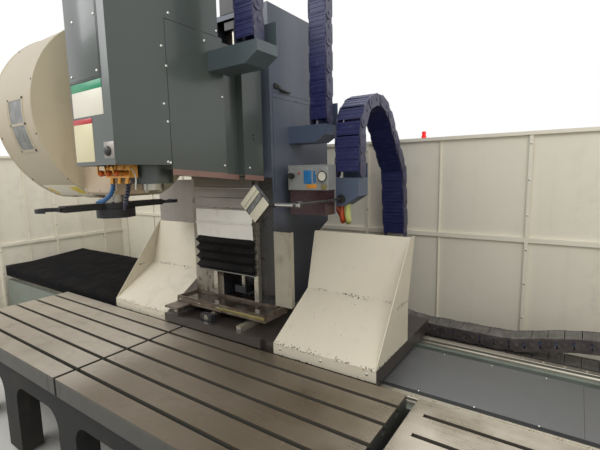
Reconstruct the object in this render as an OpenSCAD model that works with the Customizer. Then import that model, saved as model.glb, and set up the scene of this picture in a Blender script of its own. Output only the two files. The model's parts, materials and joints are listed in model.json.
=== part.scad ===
/* [Tables] */
// Height of the table tops above the floor
table_h = 900; // [860:5:940]
// Depth of the tables from front to back
table_d = 1000; // [960:5:1010]
// Thickness of a table plate
table_t = 120; // [100:5:160]
// Left end of the row of tables
table_x = -2151; // [-2200:1:-2100]
// Front edge of the tables
table_y = -1438; // [-1445:1:-1420]
// Length of the left table
left_table_l = 1900; // [1800:10:2000]
// Length of the centre table
center_table_l = 1900; // [1800:10:2000]
// Length of the right table
right_table_l = 1900; // [1800:10:2000]
// Gap between the left and the centre table
left_gap = 28; // [10:1:60]
// Gap between the centre and the right table
right_gap = 70; // [20:1:100]
// Number of T slots in a table
slot_count = 5; // [3:1:5]
// Distance between T slots
slot_pitch = 180; // [150:5:185]
// Distance from the front edge to the first T slot
slot_edge = 140; // [100:5:160]
// Width of the open neck of a T slot
slot_w = 28; // [18:1:36]
// Height of the neck of a T slot
slot_neck = 30; // [20:1:40]
// Width of the foot of a T slot
tee_w = 50; // [44:1:60]
// Height of the foot of a T slot
tee_h = 20; // [14:1:26]
// Closed border at the left end of the right table
slot_border = 70; // [40:5:120]
// Width of a leg of the table stand
leg_w = 230; // [180:10:300]
// Setback of the stand from the edges of the tables
stand_inset = 40; // [20:5:80]
// Height of the beam along the top of the stand
beam_h = 170; // [120:10:220]
// Thickness of a leg from front to back
leg_t = 150; // [100:10:200]
// Radius of the corners under the beam
arch_r = 130; // [60:10:160]
// Height of the levelling feet
foot_h = 40; // [30:1:60]
// Radius of a levelling foot
foot_r = 60; // [45:1:75]

/* [Bed] */
// Length of the bed
bed_l = 7800; // [7600:50:7900]
// Front face of the bed
bed_y = -400; // [-405:1:-390]
// Back face of the bed
bed_back_y = 630; // [625:1:640]
// Height of the rail seats on the bed
bed_top = 793; // [780:1:800]
// Centre line of the front rail
rail_front_y = -320; // [-325:1:-315]
// Centre line of the back rail
rail_back_y = 546; // [540:1:550]
// Width of a bed rail
rail_w = 53; // [45:1:55]
// Height of a bed rail
rail_h = 44; // [40:1:50]
// Distance between rail bolts
rail_bolt_pitch = 120; // [60:60:240]
// Radius of a rail bolt head
rail_bolt_r = 12; // [8:1:14]
// Height from the rail seat to the underside of the saddle
block_h = 70; // [64:1:80]
// Front edge of the flat cover sheet
sheet_y = -288; // [-291:1:-280]
// Back edge of the flat cover sheet
sheet_back_y = 313; // [305:1:320]
// Height of the flat cover sheet
sheet_top = 845; // [840:1:850]
// Thickness of the folded sheet parts
sheet_t = 3; // [2:0.5:5]
// Back edge of the rack channel in the bed
channel_back_y = 480; // [470:1:490]
// Depth of the rack channel
channel_d = 150; // [130:5:180]
// Module of the rack and pinion
gear_module = 6; // [5:1:6]
// Number of teeth on the pinion
pinion_teeth = 18; // [16:1:18]
// Number of teeth on the rack
rack_teeth = 200; // [190:1:210]
// Thickness of the rack from top to bottom
rack_t = 50; // [40:1:60]
// Length of the pleated cover on the bed at rest
x_bellows_l = 2630; // [2600:10:2630]
// Number of pleats in the cover on the bed
x_pleats = 40; // [30:1:44]
// Height of a pleat
pleat_h = 40; // [30:1:45]
// Rise of the pleated cover from front to back
x_bellows_rise = 95; // [60:5:110]
// Front side of the cable trough
trough_y = 650; // [645:1:660]
// Width of the cable trough
trough_w = 270; // [240:5:300]
// Height of the trough floor
trough_z = 690; // [680:1:700]
// Height of the trough sides
trough_h = 90; // [60:5:110]
// Left end of the cable trough
trough_x = -500; // [-600:20:-400]

/* [Cable chains] */
// Width of the bed chain
x_chain_w = 190; // [160:5:200]
// Height of a link of the bed chain
x_link_h = 105; // [95:1:106]
// Link length of the bed chain
x_link_l = 100; // [90:5:120]
// Bend radius of the bed chain
x_chain_r = 107; // [100:1:110]
// Right end of the bed chain bend
x_chain_end = 2800; // [2600:20:2900]
// Left end of the lower run of the bed chain
x_chain_fix = 1400; // [1300:20:1500]
// Width of the column chain
y_chain_w = 220; // [200:5:230]
// Height of a link of the column chain
y_link_h = 100; // [90:1:110]
// Width of the head chain
z_chain_w = 165; // [150:5:170]
// Height of a link of the head chain
z_link_h = 100; // [90:1:100]
// Link length of the upright chains
link_l = 100; // [90:5:120]
// Gap between neighbouring links
link_gap = 6; // [4:1:10]

/* [Enclosure] */
// Gap between an end of the bed and a side wall
room_gap = 150; // [100:10:200]
// Inner face of the back wall
room_back_y = 1400; // [1380:5:1410]
// Front edge of the side walls
room_front_y = -1460; // [-1460:1:-1450]
// Height of the walls
wall_h = 2450; // [2300:10:2600]
// Depth of the wall frame
wall_frame_t = 60; // [40:5:60]
// Thickness of the wall sheets
wall_t = 4; // [3:1:6]
// Width of a wall panel
panel_w = 1480; // [1400:10:1600]
// Place of one joint in the back wall
panel_joint_x = 2067; // [2000:10:2200]
// Height of the middle rail of the back wall
back_rail_z = 1535; // [1400:5:1600]
// Height of the ledge on the side walls
side_rail_z = 1240; // [1100:5:1400]
// Depth of the folded ribs
rib_d = 26; // [15:1:40]

/* [Saddle] */
// Left end of the saddle
saddle_x = -1266; // [-1270:1:-1240]
// Right end of the saddle
saddle_right_x = 1475; // [1450:1:1490]
// Front of the saddle plate
saddle_y = -395; // [-398:1:-390]
// Back end of the saddle
saddle_back_y = 1250; // [1230:5:1260]
// Half width of the narrow back of the saddle
saddle_tail = 640; // [620:5:680]
// Thickness of the saddle plate
saddle_t = 97; // [90:1:105]
// Height of the saddle frame under the guards
saddle_rib_h = 60; // [40:5:80]
// Half distance between the rails of the column
y_rail_half = 365; // [350:5:380]
// Size of the square section of the column rails
y_rail_w = 45; // [40:1:50]
// Height from the saddle to the underside of the column
y_block_h = 75; // [70:1:80]

/* [Guards] */
// Width of a splash guard
guard_w = 778; // [740:2:786]
// Bottom edge of the lip
guard_z = 885; // [880:1:890]
// Front to back place of the fold
guard_fold_y = 50; // [30:1:70]
// Height of the fold
guard_fold_z = 1250; // [1200:5:1280]
// Front to back place of the top edge
guard_top_y = 165; // [150:1:170]
// Height of the top edge
guard_top_z = 1687; // [1650:1:1688]
// Depth of the side flange behind the guard
guard_flange = 90; // [60:5:110]
// Thickness of the guard sheet
guard_t = 5; // [3:0.5:6]

/* [Column] */
// Left side of the column
column_x = -480; // [-482:1:-470]
// Right side of the column
column_right_x = 450; // [440:1:455]
// Front face of the column
column_y = -50; // [-55:1:-45]
// Depth of the column
column_d = 840; // [800:10:860]
// Depth of the foot of the column
column_foot_d = 650; // [630:5:680]
// Top of the column
column_top = 3400; // [3300:10:3450]
// Bottom of the flared back of the column
flare_z = 1690; // [1650:5:1750]
// Wall of the column casting
column_wall = 40; // [30:1:60]
// Centre line of the head rails
z_axis_x = 50; // [40:1:60]
// Half distance between the head rails
z_rail_half = 235; // [225:1:240]
// Width of a head rail
z_rail_w = 45; // [40:1:50]
// Height of a head rail
z_rail_h = 38; // [34:1:40]
// Distance from the column face to the head slide
z_block_h = 75; // [65:1:80]
// Half width of the recess between the head rails
recess_half = 180; // [160:5:190]
// Depth of the recess for the ball screw
recess_d = 150; // [120:5:180]
// Radius of the ball screws
screw_r = 25; // [20:1:28]
// Height of the drip tray top
tray_top = 1088; // [1080:1:1095]
// Depth of the drip tray walls
tray_h = 60; // [40:2:66]
// Front edge of the drip tray
tray_y = -281; // [-285:1:-270]
// Right end of the drip tray
tray_right_x = 526; // [510:1:540]
// Right edge of the cream filler panel
filler_right_x = 612; // [600:1:620]
// Top of the cream filler panel
filler_top = 1692; // [1650:1:1700]
// Left edge of the steel wing
wing_x = -960; // [-980:5:-900]
// Bottom edge of the steel wing
wing_z = 1710; // [1705:1:1750]
// Top edge of the steel wing
wing_top = 2105; // [2050:5:2120]

/* [Head covers] */
// Left edge of the sliding cover under the head
cover_x = -365; // [-375:5:-350]
// Width of the sliding cover
cover_w = 665; // [650:5:670]
// Bottom of the steel steps of the cover
cover_step_z = 1861; // [1840:1:1880]
// Bottom of the plain card on the cover
cover_card_z = 1620; // [1600:1:1640]
// Bottom of the black pleats of the cover
cover_end_z = 1322; // [1300:1:1340]

/* [Head] */
// Left side of the head
head_x = 40; // [20:1:60]
// Right side of the head
head_right_x = 430; // [425:1:435]
// Front face of the head
head_y = -1315; // [-1325:1:-1300]
// Seam between the front hood and the casting
hood_seam_y = -959; // [-965:1:-950]
// Bottom of the head at the front
head_z = 2209; // [2190:1:2220]
// Bottom of the head at the back
head_back_z = 2128; // [2125:1:2140]
// Top of the head casting
head_top = 3027; // [3000:1:3050]
// Height of the hood over the motor
hood_h = 393; // [353:10:423]
// Front of the narrow waist of the head
waist_y = -511; // [-515:1:-505]
// Back of the waist, front of the slide flange
flange_y = -334; // [-340:1:-328]
// Left side of the waist
waist_x = -120; // [-140:5:-60]
// Setback of the waist on the right
waist_in = 60; // [40:5:80]
// Left side of the slide flange
flange_x = -330; // [-335:1:-320]
// Thickness of the hood sheet
hood_t = 4; // [3:0.5:6]

/* [Spindle] */
// Left to right place of the spindle
spindle_x = 200; // [195:1:205]
// Front to back place of the spindle
spindle_y = -938; // [-940:1:-936]
// Height of the spindle face
spindle_z = 2060; // [2055:1:2070]
// Radius of the spindle nose
nose_r = 64.285; // [60:0.005:70]
// Height of the spindle nose
nose_h = 38; // [30:1:45]
// Radius of the spindle housing
housing_r = 125; // [110:1:130]
// Large radius of the tool taper
taper_r = 34.925; // [34.925:0.005:34.925]
// Length of the tool taper
taper_l = 102; // [95:1:105]
// Half the change of diameter of the taper for each unit of length
taper_slope = 0.1458; // [0.14:0.0001:0.15]
// Radius of the bolt circle on the spindle nose
nose_bolt_circle_r = 50.8; // [50:0.1:52]
// Radius of the threaded holes in the spindle nose
nose_bolt_r = 6; // [5:0.5:6]
// Running clearance between a shaft and its bore
shaft_fit = 0.05; // [0.02:0.01:0.08]
// Height of the spindle motor
motor_h = 400; // [300:10:430]

/* [Tool changer] */
// Radius of the magazine drum
drum_r = 629; // [620:1:632]
// Left end of the drum
drum_x = -910; // [-920:1:-900]
// Length of the drum
drum_l = 560; // [550:1:565]
// Front to back place of the drum axis
drum_y = -730; // [-735:1:-725]
// Height of the drum axis
drum_z = 2584; // [2580:1:2590]
// Flat bottom of the drum
drum_flat_z = 2000; // [1990:1:2010]
// Thickness of the drum sheet
drum_t = 4; // [3:0.5:6]
// Number of tool pots
pot_count = 22; // [18:1:22]
// Radius of the circle of pots
pot_circle_r = 460; // [455:1:465]
// Radius of a tool pot
pot_r = 46; // [42:1:47]
// Radius of the pin that a pot tips on
pot_pin_r = 8; // [6:0.5:10]
// Length of a pot behind its pin
pot_back = 25; // [20:1:28]
// Distance from the hub of the change arm to a tool
arm_reach = 435; // [433:1:437]
// Radius of the grip at each end of the change arm
grip_r = 49; // [45:1:52]
// Height of the underside of the change arm
arm_z = 1930; // [1925:1:1935]
// Thickness of the change arm
arm_t = 40; // [34:1:44]
// Radius of the black flange under the change arm
arm_flange_r = 125; // [100:1:130]
// Height of the black flange under the change arm
arm_flange_h = 60; // [40:1:70]
// Distance from the face of a tool's taper down to the groove that the arm grips
groove_drop = 25; // [24:0.5:28]
// Thickness of the grips of the change arm
grip_t = 24; // [20:1:30]
// Radius of the change arm hub
arm_hub_r = 110; // [90:1:120]
// Radius of the change arm shaft
arm_shaft_r = 40; // [32:1:45]
// Outer radius of the sleeve that lifts the change arm
arm_sleeve_r = 62; // [56:1:70]
// Bottom of the cam box
cam_box_z = 2030; // [2025:1:2040]
// Top of the cam box
cam_box_top = 2560; // [2450:10:2600]
// Stroke of the change arm
arm_stroke = 110; // [80:5:110]

/* [Lamp and lubricator] */
// Side of the square lamp
lamp_side = 190; // [180:5:200]
// Thickness of the lamp
lamp_t = 40; // [30:1:45]
// Left to right place of the lamp
lamp_x = 577; // [575:1:590]
// Front to back place of the lamp
lamp_y = -392; // [-395:1:-385]
// Height of the lamp
lamp_z = 1940; // [1930:1:1945]
// Radius of the lamp rod
lamp_rod_r = 11; // [8:1:14]
// Left end of the lubricator
oiler_x = 525; // [520:1:535]
// Width of the lubricator
oiler_w = 340; // [320:5:355]
// Depth of the lubricator
oiler_d = 150; // [130:5:160]
// Front face of the lubricator
oiler_y = 60; // [55:1:65]
// Bottom of the lubricator housing
oiler_z = 2014; // [2005:1:2020]
// Height of the lubricator housing
oiler_h = 190; // [170:5:200]
// Height of the oil tank
oiler_tank_h = 190; // [170:5:195]
/* [Hidden] */
EPS = 0.01;
$fn = 48;

tables_l = left_table_l + left_gap + center_table_l + right_gap + right_table_l;
center_table_x = table_x + left_table_l + left_gap;
right_table_x = center_table_x + center_table_l + right_gap;
table_bottom = table_h - table_t;
bed_half = bed_l / 2;
room_w = bed_l + 2 * room_gap;
rail_top = bed_top + rail_h;
saddle_z = bed_top + block_h;
saddle_top = saddle_z + saddle_t;
column_z = saddle_top + y_block_h;
column_mid = (column_x + column_right_x) / 2;
column_w = column_right_x - column_x;
guard_y = saddle_y - guard_t;
slide_y = column_y - z_block_h;
gear_pitch = PI * gear_module;
pinion_r = gear_module * pinion_teeth / 2;
pinion_x = -760;
// The rack is bolted to the front wall of its channel
rack_d = 22;
channel_y = sheet_back_y + 22;
rack_face_y = channel_y + rack_d;
pinion_y = rack_face_y + pinion_r;
pot_tilt_z = drum_z - sqrt(pow(pot_circle_r, 2) - pow(spindle_y - drum_y, 2));
arm_hub_x = spindle_x - arm_reach;
pot_x = arm_hub_x - arm_reach;
// Height of the taper faces of the pot and the spindle while the arm grips their tools
change_z = arm_z + arm_t / 2 + groove_drop;
pot_front = pot_tilt_z - change_z;
head_mid = (head_x + head_right_x) / 2;
// Gap kept between parts that slide past each other
slide_gap = 0.3;
pinion_shaft_r = 28;
// Distance from the last pin of a chain to what it is bolted to
function chain_seat(h) = h / 2 - link_gap + slide_gap;
hood_top = head_top + hood_h;
// Depth of the folded top edge of the walls
flange_d = rib_d + 8;
// The lip of a guard ends just above the edge of the saddle
guard_lip_z = saddle_top + guard_t / 2 + slide_gap;
chain_top = trough_z + x_link_h + 2 * x_chain_r;
// The ball screw that moves the column lies under it
y_screw_z = saddle_top + 40;
y_screw_y0 = saddle_y + 15;
y_screw_y1 = saddle_back_y - 160;
z_screw_y = column_y + recess_d / 2;
z_screw_z0 = tray_top + 40;
z_screw_z1 = column_top - 50;
y_bracket_y = 221;
cover_y = slide_y + 12;
// The pots hang on ears in front of their disc
disc_back = 55;
disc_t = 20;
hub_r = 40;
button_x = 374;
button_z = 2281;
button_r = 17;
// Places of the upright chains
y_chain_x = 850;
y_chain_bend_r = 300;
y_chain_start = [270, 2146];
y_chain_rise = [275, 2412];
y_chain_end = [1215, 1551];
z_chain_x = 620;
z_chain_front_y = -550;
z_chain_back_y = 280;
z_chain_front_z = head_top - 65;
z_chain_back_z = 2560;
z_chain_arch_z = 3535;
alarm_x = 1154;

// Carries an outline drawn as front to back and height along the width
module along_x(x, l) {
    translate([x, 0, 0]) rotate([90, 0, 90]) linear_extrude(l) children();
}

// Carries an outline drawn as width and height from front to back
module along_y(y, l) {
    translate([0, y + l, 0]) rotate([90, 0, 0]) linear_extrude(l) children();
}

// A box between two corners
module block(low, high) {
    translate(low) cube(high - low);
}

// A round bar between two heights
module post(x, y, z, l, r) {
    translate([x, y, z]) cylinder(h = l, r = r);
}

// An outline with square sides and rounded top corners, open at the bottom
module arch(w, h, r) {
    translate([-w / 2, 0]) square([w, h - r]);
    translate([-w / 2 + r, h - r - EPS]) square([w - 2 * r, r + EPS]);
    for (side = [-1, 1]) translate([side * (w / 2 - r), h - r]) circle(r);
}

// A bar outline from one pin to the next, with ends of flats like a moulded link's
module link_outline(l, r) {
    polygon(concat(
        [for (t = [90 : 30 : 270]) r * [cos(t), sin(t)]],
        [for (t = [-90 : 30 : 90]) [l, 0] + r * [cos(t), sin(t)]]
    ));
}

// T slots cut along a table
module tee_slots(x, l) {
    for (i = [0 : slot_count - 1]) {
        y = table_y + slot_edge + i * slot_pitch;
        block([x, y - slot_w / 2, table_h - slot_neck - 1], [x + l, y + slot_w / 2, table_h + 1]);
        block(
            [x, y - tee_w / 2, table_h - slot_neck - tee_h],
            [x + l, y + tee_w / 2, table_h - slot_neck]
        );
    }
}

module table_plate(x, l, border) {
    color([0.63, 0.59, 0.53]) difference() {
        block([x, table_y, table_bottom], [x + l, table_y + table_d, table_h]);
        tee_slots(x + border - 1, l - border + 2);
    }
}

module table_left() {
    table_plate(table_x, left_table_l, 0);
}

module table_center() {
    table_plate(center_table_x, center_table_l, 0);
}

module table_right() {
    table_plate(right_table_x, right_table_l, slot_border);
}

// Middles of the legs: two ends, two joints and the middle of each table
function leg_places() =
    let (
        first = table_x + stand_inset + leg_w / 2,
        last = table_x + tables_l - stand_inset - leg_w / 2,
        joint_a = center_table_x - left_gap / 2,
        joint_b = right_table_x - right_gap / 2
    )
    [first, (first + joint_a) / 2, joint_a, (joint_a + joint_b) / 2, joint_b, (joint_b + last) / 2, last];

module table_stand() {
    legs = leg_places();
    x0 = table_x + stand_inset;
    x1 = table_x + tables_l - stand_inset;
    y0 = table_y + stand_inset;
    y1 = table_y + table_d - stand_inset;
    color([0.16, 0.17, 0.17]) difference() {
        block([x0, y0, foot_h], [x1, y1, table_bottom]);
        block([x0 - 1, y0 + leg_t, foot_h - 1], [x1 + 1, y1 - leg_t, table_bottom - beam_h]);
        for (i = [0 : len(legs) - 2]) {
            span = legs[i + 1] - legs[i] - leg_w;
            translate([(legs[i] + legs[i + 1]) / 2, 0, foot_h - 1]) along_y(y0 - 1, y1 - y0 + 2)
                arch(span, table_bottom - beam_h + 1 - foot_h, arch_r);
        }
    }
}

module foot(x, y) {
    post(x, y, 0, foot_h * 0.6, foot_r);
    post(x, y, foot_h * 0.6 - EPS, foot_h * 0.4 + EPS, foot_r / 2);
}

module leveling_feet() {
    legs = leg_places();
    color([0.25, 0.25, 0.26]) {
        for (x = legs)
            for (y = [table_y + stand_inset + leg_t / 2, table_y + table_d - stand_inset - leg_t / 2])
                foot(x, y);
        for (i = [-4 : 4])
            for (y = [rail_front_y, rail_back_y]) foot(i * (bed_half - foot_r) / 4, y);
    }
}

module x_bed() {
    color([0.36, 0.4, 0.38]) along_x(-bed_half, bed_l) polygon([
        [bed_y, foot_h], [bed_back_y, foot_h], [bed_back_y, bed_top],
        [channel_back_y, bed_top], [channel_back_y, bed_top - channel_d],
        [channel_y, bed_top - channel_d], [channel_y, bed_top],
        [sheet_back_y - 45, bed_top], [sheet_back_y - 45, bed_top - channel_d],
        [sheet_y + 50, bed_top - channel_d], [sheet_y + 50, bed_top], [bed_y, bed_top]
    ]);
}

// Two rails with sunk bolt holes along their tops
module x_rails() {
    holes = floor((bed_l - rail_bolt_pitch) / rail_bolt_pitch / 2);
    half = rail_w / 2;
    side = [
        [half, bed_top], [half, bed_top + rail_h * 0.3], [half - 6, bed_top + rail_h * 0.5],
        [half, bed_top + rail_h * 0.7], [half, rail_top - 3], [half - 3, rail_top]
    ];
    other = [for (i = [len(side) - 1 : -1 : 0]) [-side[i][0], side[i][1]]];
    color([0.62, 0.6, 0.56]) for (y = [rail_front_y, rail_back_y]) translate([0, y, 0]) difference() {
        along_x(-bed_half + 10, bed_l - 20) polygon(concat(side, other));
        for (i = [-holes : holes]) post(i * rail_bolt_pitch, 0, rail_top - 5, 6, rail_bolt_r, $fn = 16);
    }
}

// Straight teeth facing the pinion, with a gap over the pinion's axis
module x_rack() {
    half = gear_pitch / 4 - 0.25;
    lean = tan(20) * gear_module;
    back = rack_face_y - rack_d;
    x0 = pinion_x + 350 - rack_teeth * gear_pitch / 2;
    first = pinion_x - floor((pinion_x - x0) / gear_pitch) * gear_pitch + gear_pitch / 2;
    teeth = [for (i = [0 : rack_teeth - 2]) let (x = first + i * gear_pitch) each [
        [x - half - lean * 1.25, rack_face_y - gear_module * 1.25],
        [x - half + lean, rack_face_y + gear_module],
        [x + half - lean, rack_face_y + gear_module],
        [x + half + lean * 1.25, rack_face_y - gear_module * 1.25]
    ]];
    last_x = first + (rack_teeth - 1) * gear_pitch;
    color([0.5, 0.49, 0.47]) translate([0, 0, bed_top - 25 - rack_t]) linear_extrude(rack_t) polygon(concat(
        [[first - gear_pitch, back], [first - gear_pitch, rack_face_y - gear_module * 1.25]],
        teeth,
        [[last_x, rack_face_y - gear_module * 1.25], [last_x, back]]
    ));
}

module way_cover_sheet() {
    color([0.44, 0.45, 0.46]) along_x(-bed_half + 20, bed_l - 40) polygon([
        [sheet_y, bed_top], [sheet_y + 18 + sheet_t, bed_top],
        [sheet_y + 18 + sheet_t, sheet_top - sheet_t], [sheet_back_y - sheet_t, sheet_top - sheet_t],
        [sheet_back_y - sheet_t, bed_top], [sheet_back_y, bed_top], [sheet_back_y, sheet_top],
        [sheet_y + 18, sheet_top], [sheet_y + 18, bed_top + sheet_t], [sheet_y, bed_top + sheet_t]
    ]);
}

// Pleats across the bed, higher at the back
module x_way_bellows() {
    pitch = x_bellows_l / x_pleats;
    depth = bed_back_y - bed_y + 20;
    front_z = sheet_top + 115;
    right_x = saddle_x - slide_gap;
    ridges = [for (i = [0 : x_pleats - 1]) let (x = right_x - i * pitch) each [
        [x, -pleat_h], [x - pitch / 2, 0]
    ]];
    color([0.09, 0.09, 0.1]) difference() {
        translate([0, bed_y - 10, front_z]) rotate([asin(x_bellows_rise / depth), 0, 0]) along_y(0, depth)
            polygon(concat(
                [[right_x - x_bellows_l, -240], [right_x, -240]],
                ridges,
                [[right_x - x_bellows_l, -pleat_h]]
            ));
        block([-bed_half, bed_y - 100, foot_h], [0, bed_back_y + 100, sheet_top + slide_gap]);
    }
}

module cable_trough() {
    y1 = trough_y + trough_w;
    z1 = trough_z + trough_h;
    color([0.4, 0.41, 0.42]) {
        along_x(trough_x, bed_half - trough_x) polygon([
            [trough_y, trough_z - sheet_t], [y1, trough_z - sheet_t], [y1, z1], [y1 - sheet_t, z1],
            [y1 - sheet_t, trough_z], [trough_y + sheet_t, trough_z], [trough_y + sheet_t, z1],
            [trough_y, z1]
        ]);
        for (i = [0 : 5])
            let (x = trough_x + 100 + i * (bed_half - trough_x - 400) / 5)
            block([x, bed_back_y, trough_z - 60], [x + 60, y1, trough_z - sheet_t]);
    }
}

// Links from pin to pin along a path drawn as right and up, with the width from front to back
module chain(path, w, h) {
    plate = 7;
    rung = 10;
    last = len(path) - 2;
    for (i = [0 : last]) {
        run = path[i + 1] - path[i];
        l = norm(run);
        inset = (i % 2) * (plate - 0.5);
        r = h / 2 - link_gap - (i % 2 == 1 && i < last ? 2 : 0);
        translate([path[i][0], 0, path[i][1]]) rotate([0, -atan2(run[1], run[0]), 0]) {
            for (side = [0, 1]) translate([0, side * (w - plate - 2 * inset) + inset, 0])
                along_y(0, plate) link_outline(l, r);
            for (z = [-h / 2, h / 2 - rung])
                block([l * 0.2, inset + 1, z], [l * 0.8, w - inset - 1, z + rung]);
        }
    }
}

// Points along a straight run, about one link apart
function straight(a, b, pitch) =
    let (n = max(1, round(norm(b - a) / pitch)))
    [for (i = [0 : n - 1]) a + (b - a) * i / n];

// Points along an arc, about one link apart
function bend(middle, r, from, to, pitch) =
    let (n = max(2, round(abs(to - from) * PI / 180 * r / pitch)))
    [for (i = [0 : n - 1]) let (t = from + (to - from) * i / n) middle + r * [cos(t), sin(t)]];

// Upper run of the bed chain: held at the saddle, lying on the lower run further right
function upper_run() =
    let (
        low = trough_z + x_link_h / 2,
        high = low + 2 * x_chain_r,
        x0 = saddle_tail + 20 + chain_seat(x_link_h),
        x1 = x_chain_end - x_chain_r,
        n = round((x1 - x0) / x_link_l)
    )
    [for (i = [0 : n - 1])
        let (t = i / n, dip = (1 - cos(360 * t)) * 75)
        [x0 + t * (x1 - x0), max(low + x_link_h + 2, high - dip)]];

module x_drag_chain() {
    low = trough_z + x_link_h / 2;
    x1 = x_chain_end - x_chain_r;
    path = concat(
        upper_run(),
        bend([x1, low + x_chain_r], x_chain_r, 90, -90, x_link_l),
        straight([x1, low], [x_chain_fix, low], x_link_l),
        [[x_chain_fix, low]]
    );
    color([0.13, 0.11, 0.11]) translate([0, trough_y + (trough_w - x_chain_w) / 2, 0])
        chain(path, x_chain_w, x_link_h);
}

// The column chain climbs from its bracket, turns over and comes down to its post on the saddle
module y_drag_chain() {
    a = y_chain_start;
    b = y_chain_end;
    path = concat(
        straight(a, y_chain_rise, link_l),
        bend(y_chain_rise + [y_chain_bend_r, 0], y_chain_bend_r, 180, 40, link_l),
        straight(
            y_chain_rise + [y_chain_bend_r, 0] + y_chain_bend_r * [cos(40), sin(40)],
            [b[0] - 60, b[1] + 600],
            link_l
        ),
        straight([b[0] - 60, b[1] + 600], b, link_l),
        [b]
    );
    color([0.14, 0.15, 0.25]) translate([y_chain_x + y_chain_w, 0, 0]) rotate([0, 0, 90])
        chain(path, y_chain_w, y_link_h);
}

// The head chain goes up from the head, over, and down to its bracket on the column
module z_drag_chain() {
    r = (z_chain_back_y - z_chain_front_y) / 2;
    middle = [(z_chain_back_y + z_chain_front_y) / 2, z_chain_arch_z];
    path = concat(
        straight([z_chain_front_y, z_chain_front_z], [z_chain_front_y, z_chain_arch_z], link_l),
        bend(middle, r, 180, 0, link_l),
        straight([z_chain_back_y, z_chain_arch_z], [z_chain_back_y, z_chain_back_z], link_l),
        [[z_chain_back_y, z_chain_back_z]]
    );
    color([0.14, 0.15, 0.25]) translate([z_chain_x + z_chain_w, 0, 0]) rotate([0, 0, 90])
        chain(path, z_chain_w, z_link_h);
}

// Places of the panel joints along the back wall
function joint_places() =
    let (half = room_w / 2, first = -ceil((half + panel_joint_x) / panel_w) + 1)
    [for (i = [first : 20]) let (x = panel_joint_x + i * panel_w) if (abs(x) < half - 60) x];

// A sheet wall facing +Y at its inner side, with ribs standing in towards the room
module wall_sheet(x0, x1, flange_x1, joints, rail_z) {
    block([x0, 0, 0], [x1, wall_t, wall_h]);
    for (x = joints) block([x - 14, -rib_d, 0], [x + 14, EPS, wall_h]);
    for (i = [0 : len(joints) - 2]) {
        x = (joints[i] + joints[i + 1]) / 2;
        block([x - 3, -rib_d * 0.7, 0], [x + 3, EPS, wall_h]);
    }
    block([x0, -rib_d, rail_z - 20], [x1, EPS, rail_z + 20]);
    block([x0, -flange_d, wall_h - 30], [flange_x1, EPS, wall_h]);
}

module back_wall() {
    half = room_w / 2;
    color([0.84, 0.83, 0.79]) translate([0, room_back_y, 0])
        wall_sheet(-half + EPS, half - EPS, half - EPS, joint_places(), back_rail_z);
}

module side_wall() {
    l = room_back_y - room_front_y;
    color([0.84, 0.83, 0.79]) rotate([0, 0, 90]) translate([0, room_w / 2, 0]) wall_sheet(
        room_front_y, room_back_y, room_back_y - flange_d - slide_gap,
        [room_front_y + 14, -400, 340, room_back_y - 320], side_rail_z
    );
}

module side_walls() {
    side_wall();
    mirror([1, 0, 0]) side_wall();
}

// Square posts and rails behind the sheets
module wall_frame() {
    half = room_w / 2;
    y0 = room_back_y + wall_t;
    color([0.6, 0.6, 0.58]) {
        for (x = concat([-half, half - wall_frame_t], [for (j = joint_places()) j - wall_frame_t / 2]))
            block([x, y0, 0], [x + wall_frame_t, y0 + wall_frame_t - wall_t, wall_h]);
        for (z = [0, back_rail_z - 30, wall_h - 60])
            block([-half, y0, z], [half, y0 + wall_frame_t - wall_t, z + 60]);
        for (side = [0, 1]) mirror([side, 0, 0]) {
            for (y = [room_front_y, -430, room_back_y - 40])
                block([half + wall_t, y, 0], [half + wall_frame_t, y + wall_frame_t, wall_h]);
            for (z = [0, side_rail_z - 30, wall_h - 60])
                block(
                    [half + wall_t, room_front_y, z],
                    [half + wall_frame_t, room_back_y + wall_frame_t, z + 60]
                );
        }
    }
}

module alarm_lamp() {
    color([0.8, 0.1, 0.08]) {
        post(alarm_x, room_back_y + 30, wall_h, 20, 24);
        post(alarm_x, room_back_y + 30, wall_h + 20 - EPS, 45, 19);
    }
}

module saddle() {
    color([0.3, 0.33, 0.33]) difference() {
        union() {
            block([saddle_x, saddle_y, saddle_z], [saddle_right_x, bed_back_y, saddle_top]);
            block([-saddle_tail, bed_back_y - 1, saddle_z], [saddle_tail, saddle_back_y, saddle_top]);
            for (x = [saddle_x + 60, (saddle_x + column_x) / 2, (saddle_right_x + column_right_x) / 2 + 80])
                block([x, saddle_y + 160, saddle_top - 1], [x + 40, saddle_y + 330, saddle_top + saddle_rib_h]);
            block([column_x + 10, saddle_y - 38, table_h + 8], [filler_right_x - 10, saddle_y + 1, saddle_top + 15]);
            block([saddle_tail - 1, trough_y + 60, saddle_z], [saddle_tail + 20, trough_y + 210, chain_top]);
        }
        post(pinion_x, pinion_y, saddle_z - 1, saddle_t + 2, pinion_shaft_r + shaft_fit);
    }
}

// Roller blocks that hug the rails of the bed
module x_carriages() {
    color([0.5, 0.52, 0.5]) difference() {
        for (x = [saddle_x + 160, column_mid - 140, saddle_right_x - 440])
            for (y = [rail_front_y, rail_back_y])
                block([x, y - 44, bed_top + 8], [x + 280, y + 44, saddle_z]);
        for (y = [rail_front_y, rail_back_y])
            block(
                [saddle_x, y - rail_w / 2 - slide_gap, bed_top],
                [saddle_right_x, y + rail_w / 2 + slide_gap, rail_top + slide_gap]
            );
    }
}

module y_rails() {
    color([0.62, 0.6, 0.56]) for (side = [-1, 1])
        translate([column_mid + side * y_rail_half, 0, 0]) block(
            [-y_rail_w / 2, saddle_y + 10, saddle_top],
            [y_rail_w / 2, saddle_back_y - 10, saddle_top + y_rail_w]
        );
}

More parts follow.
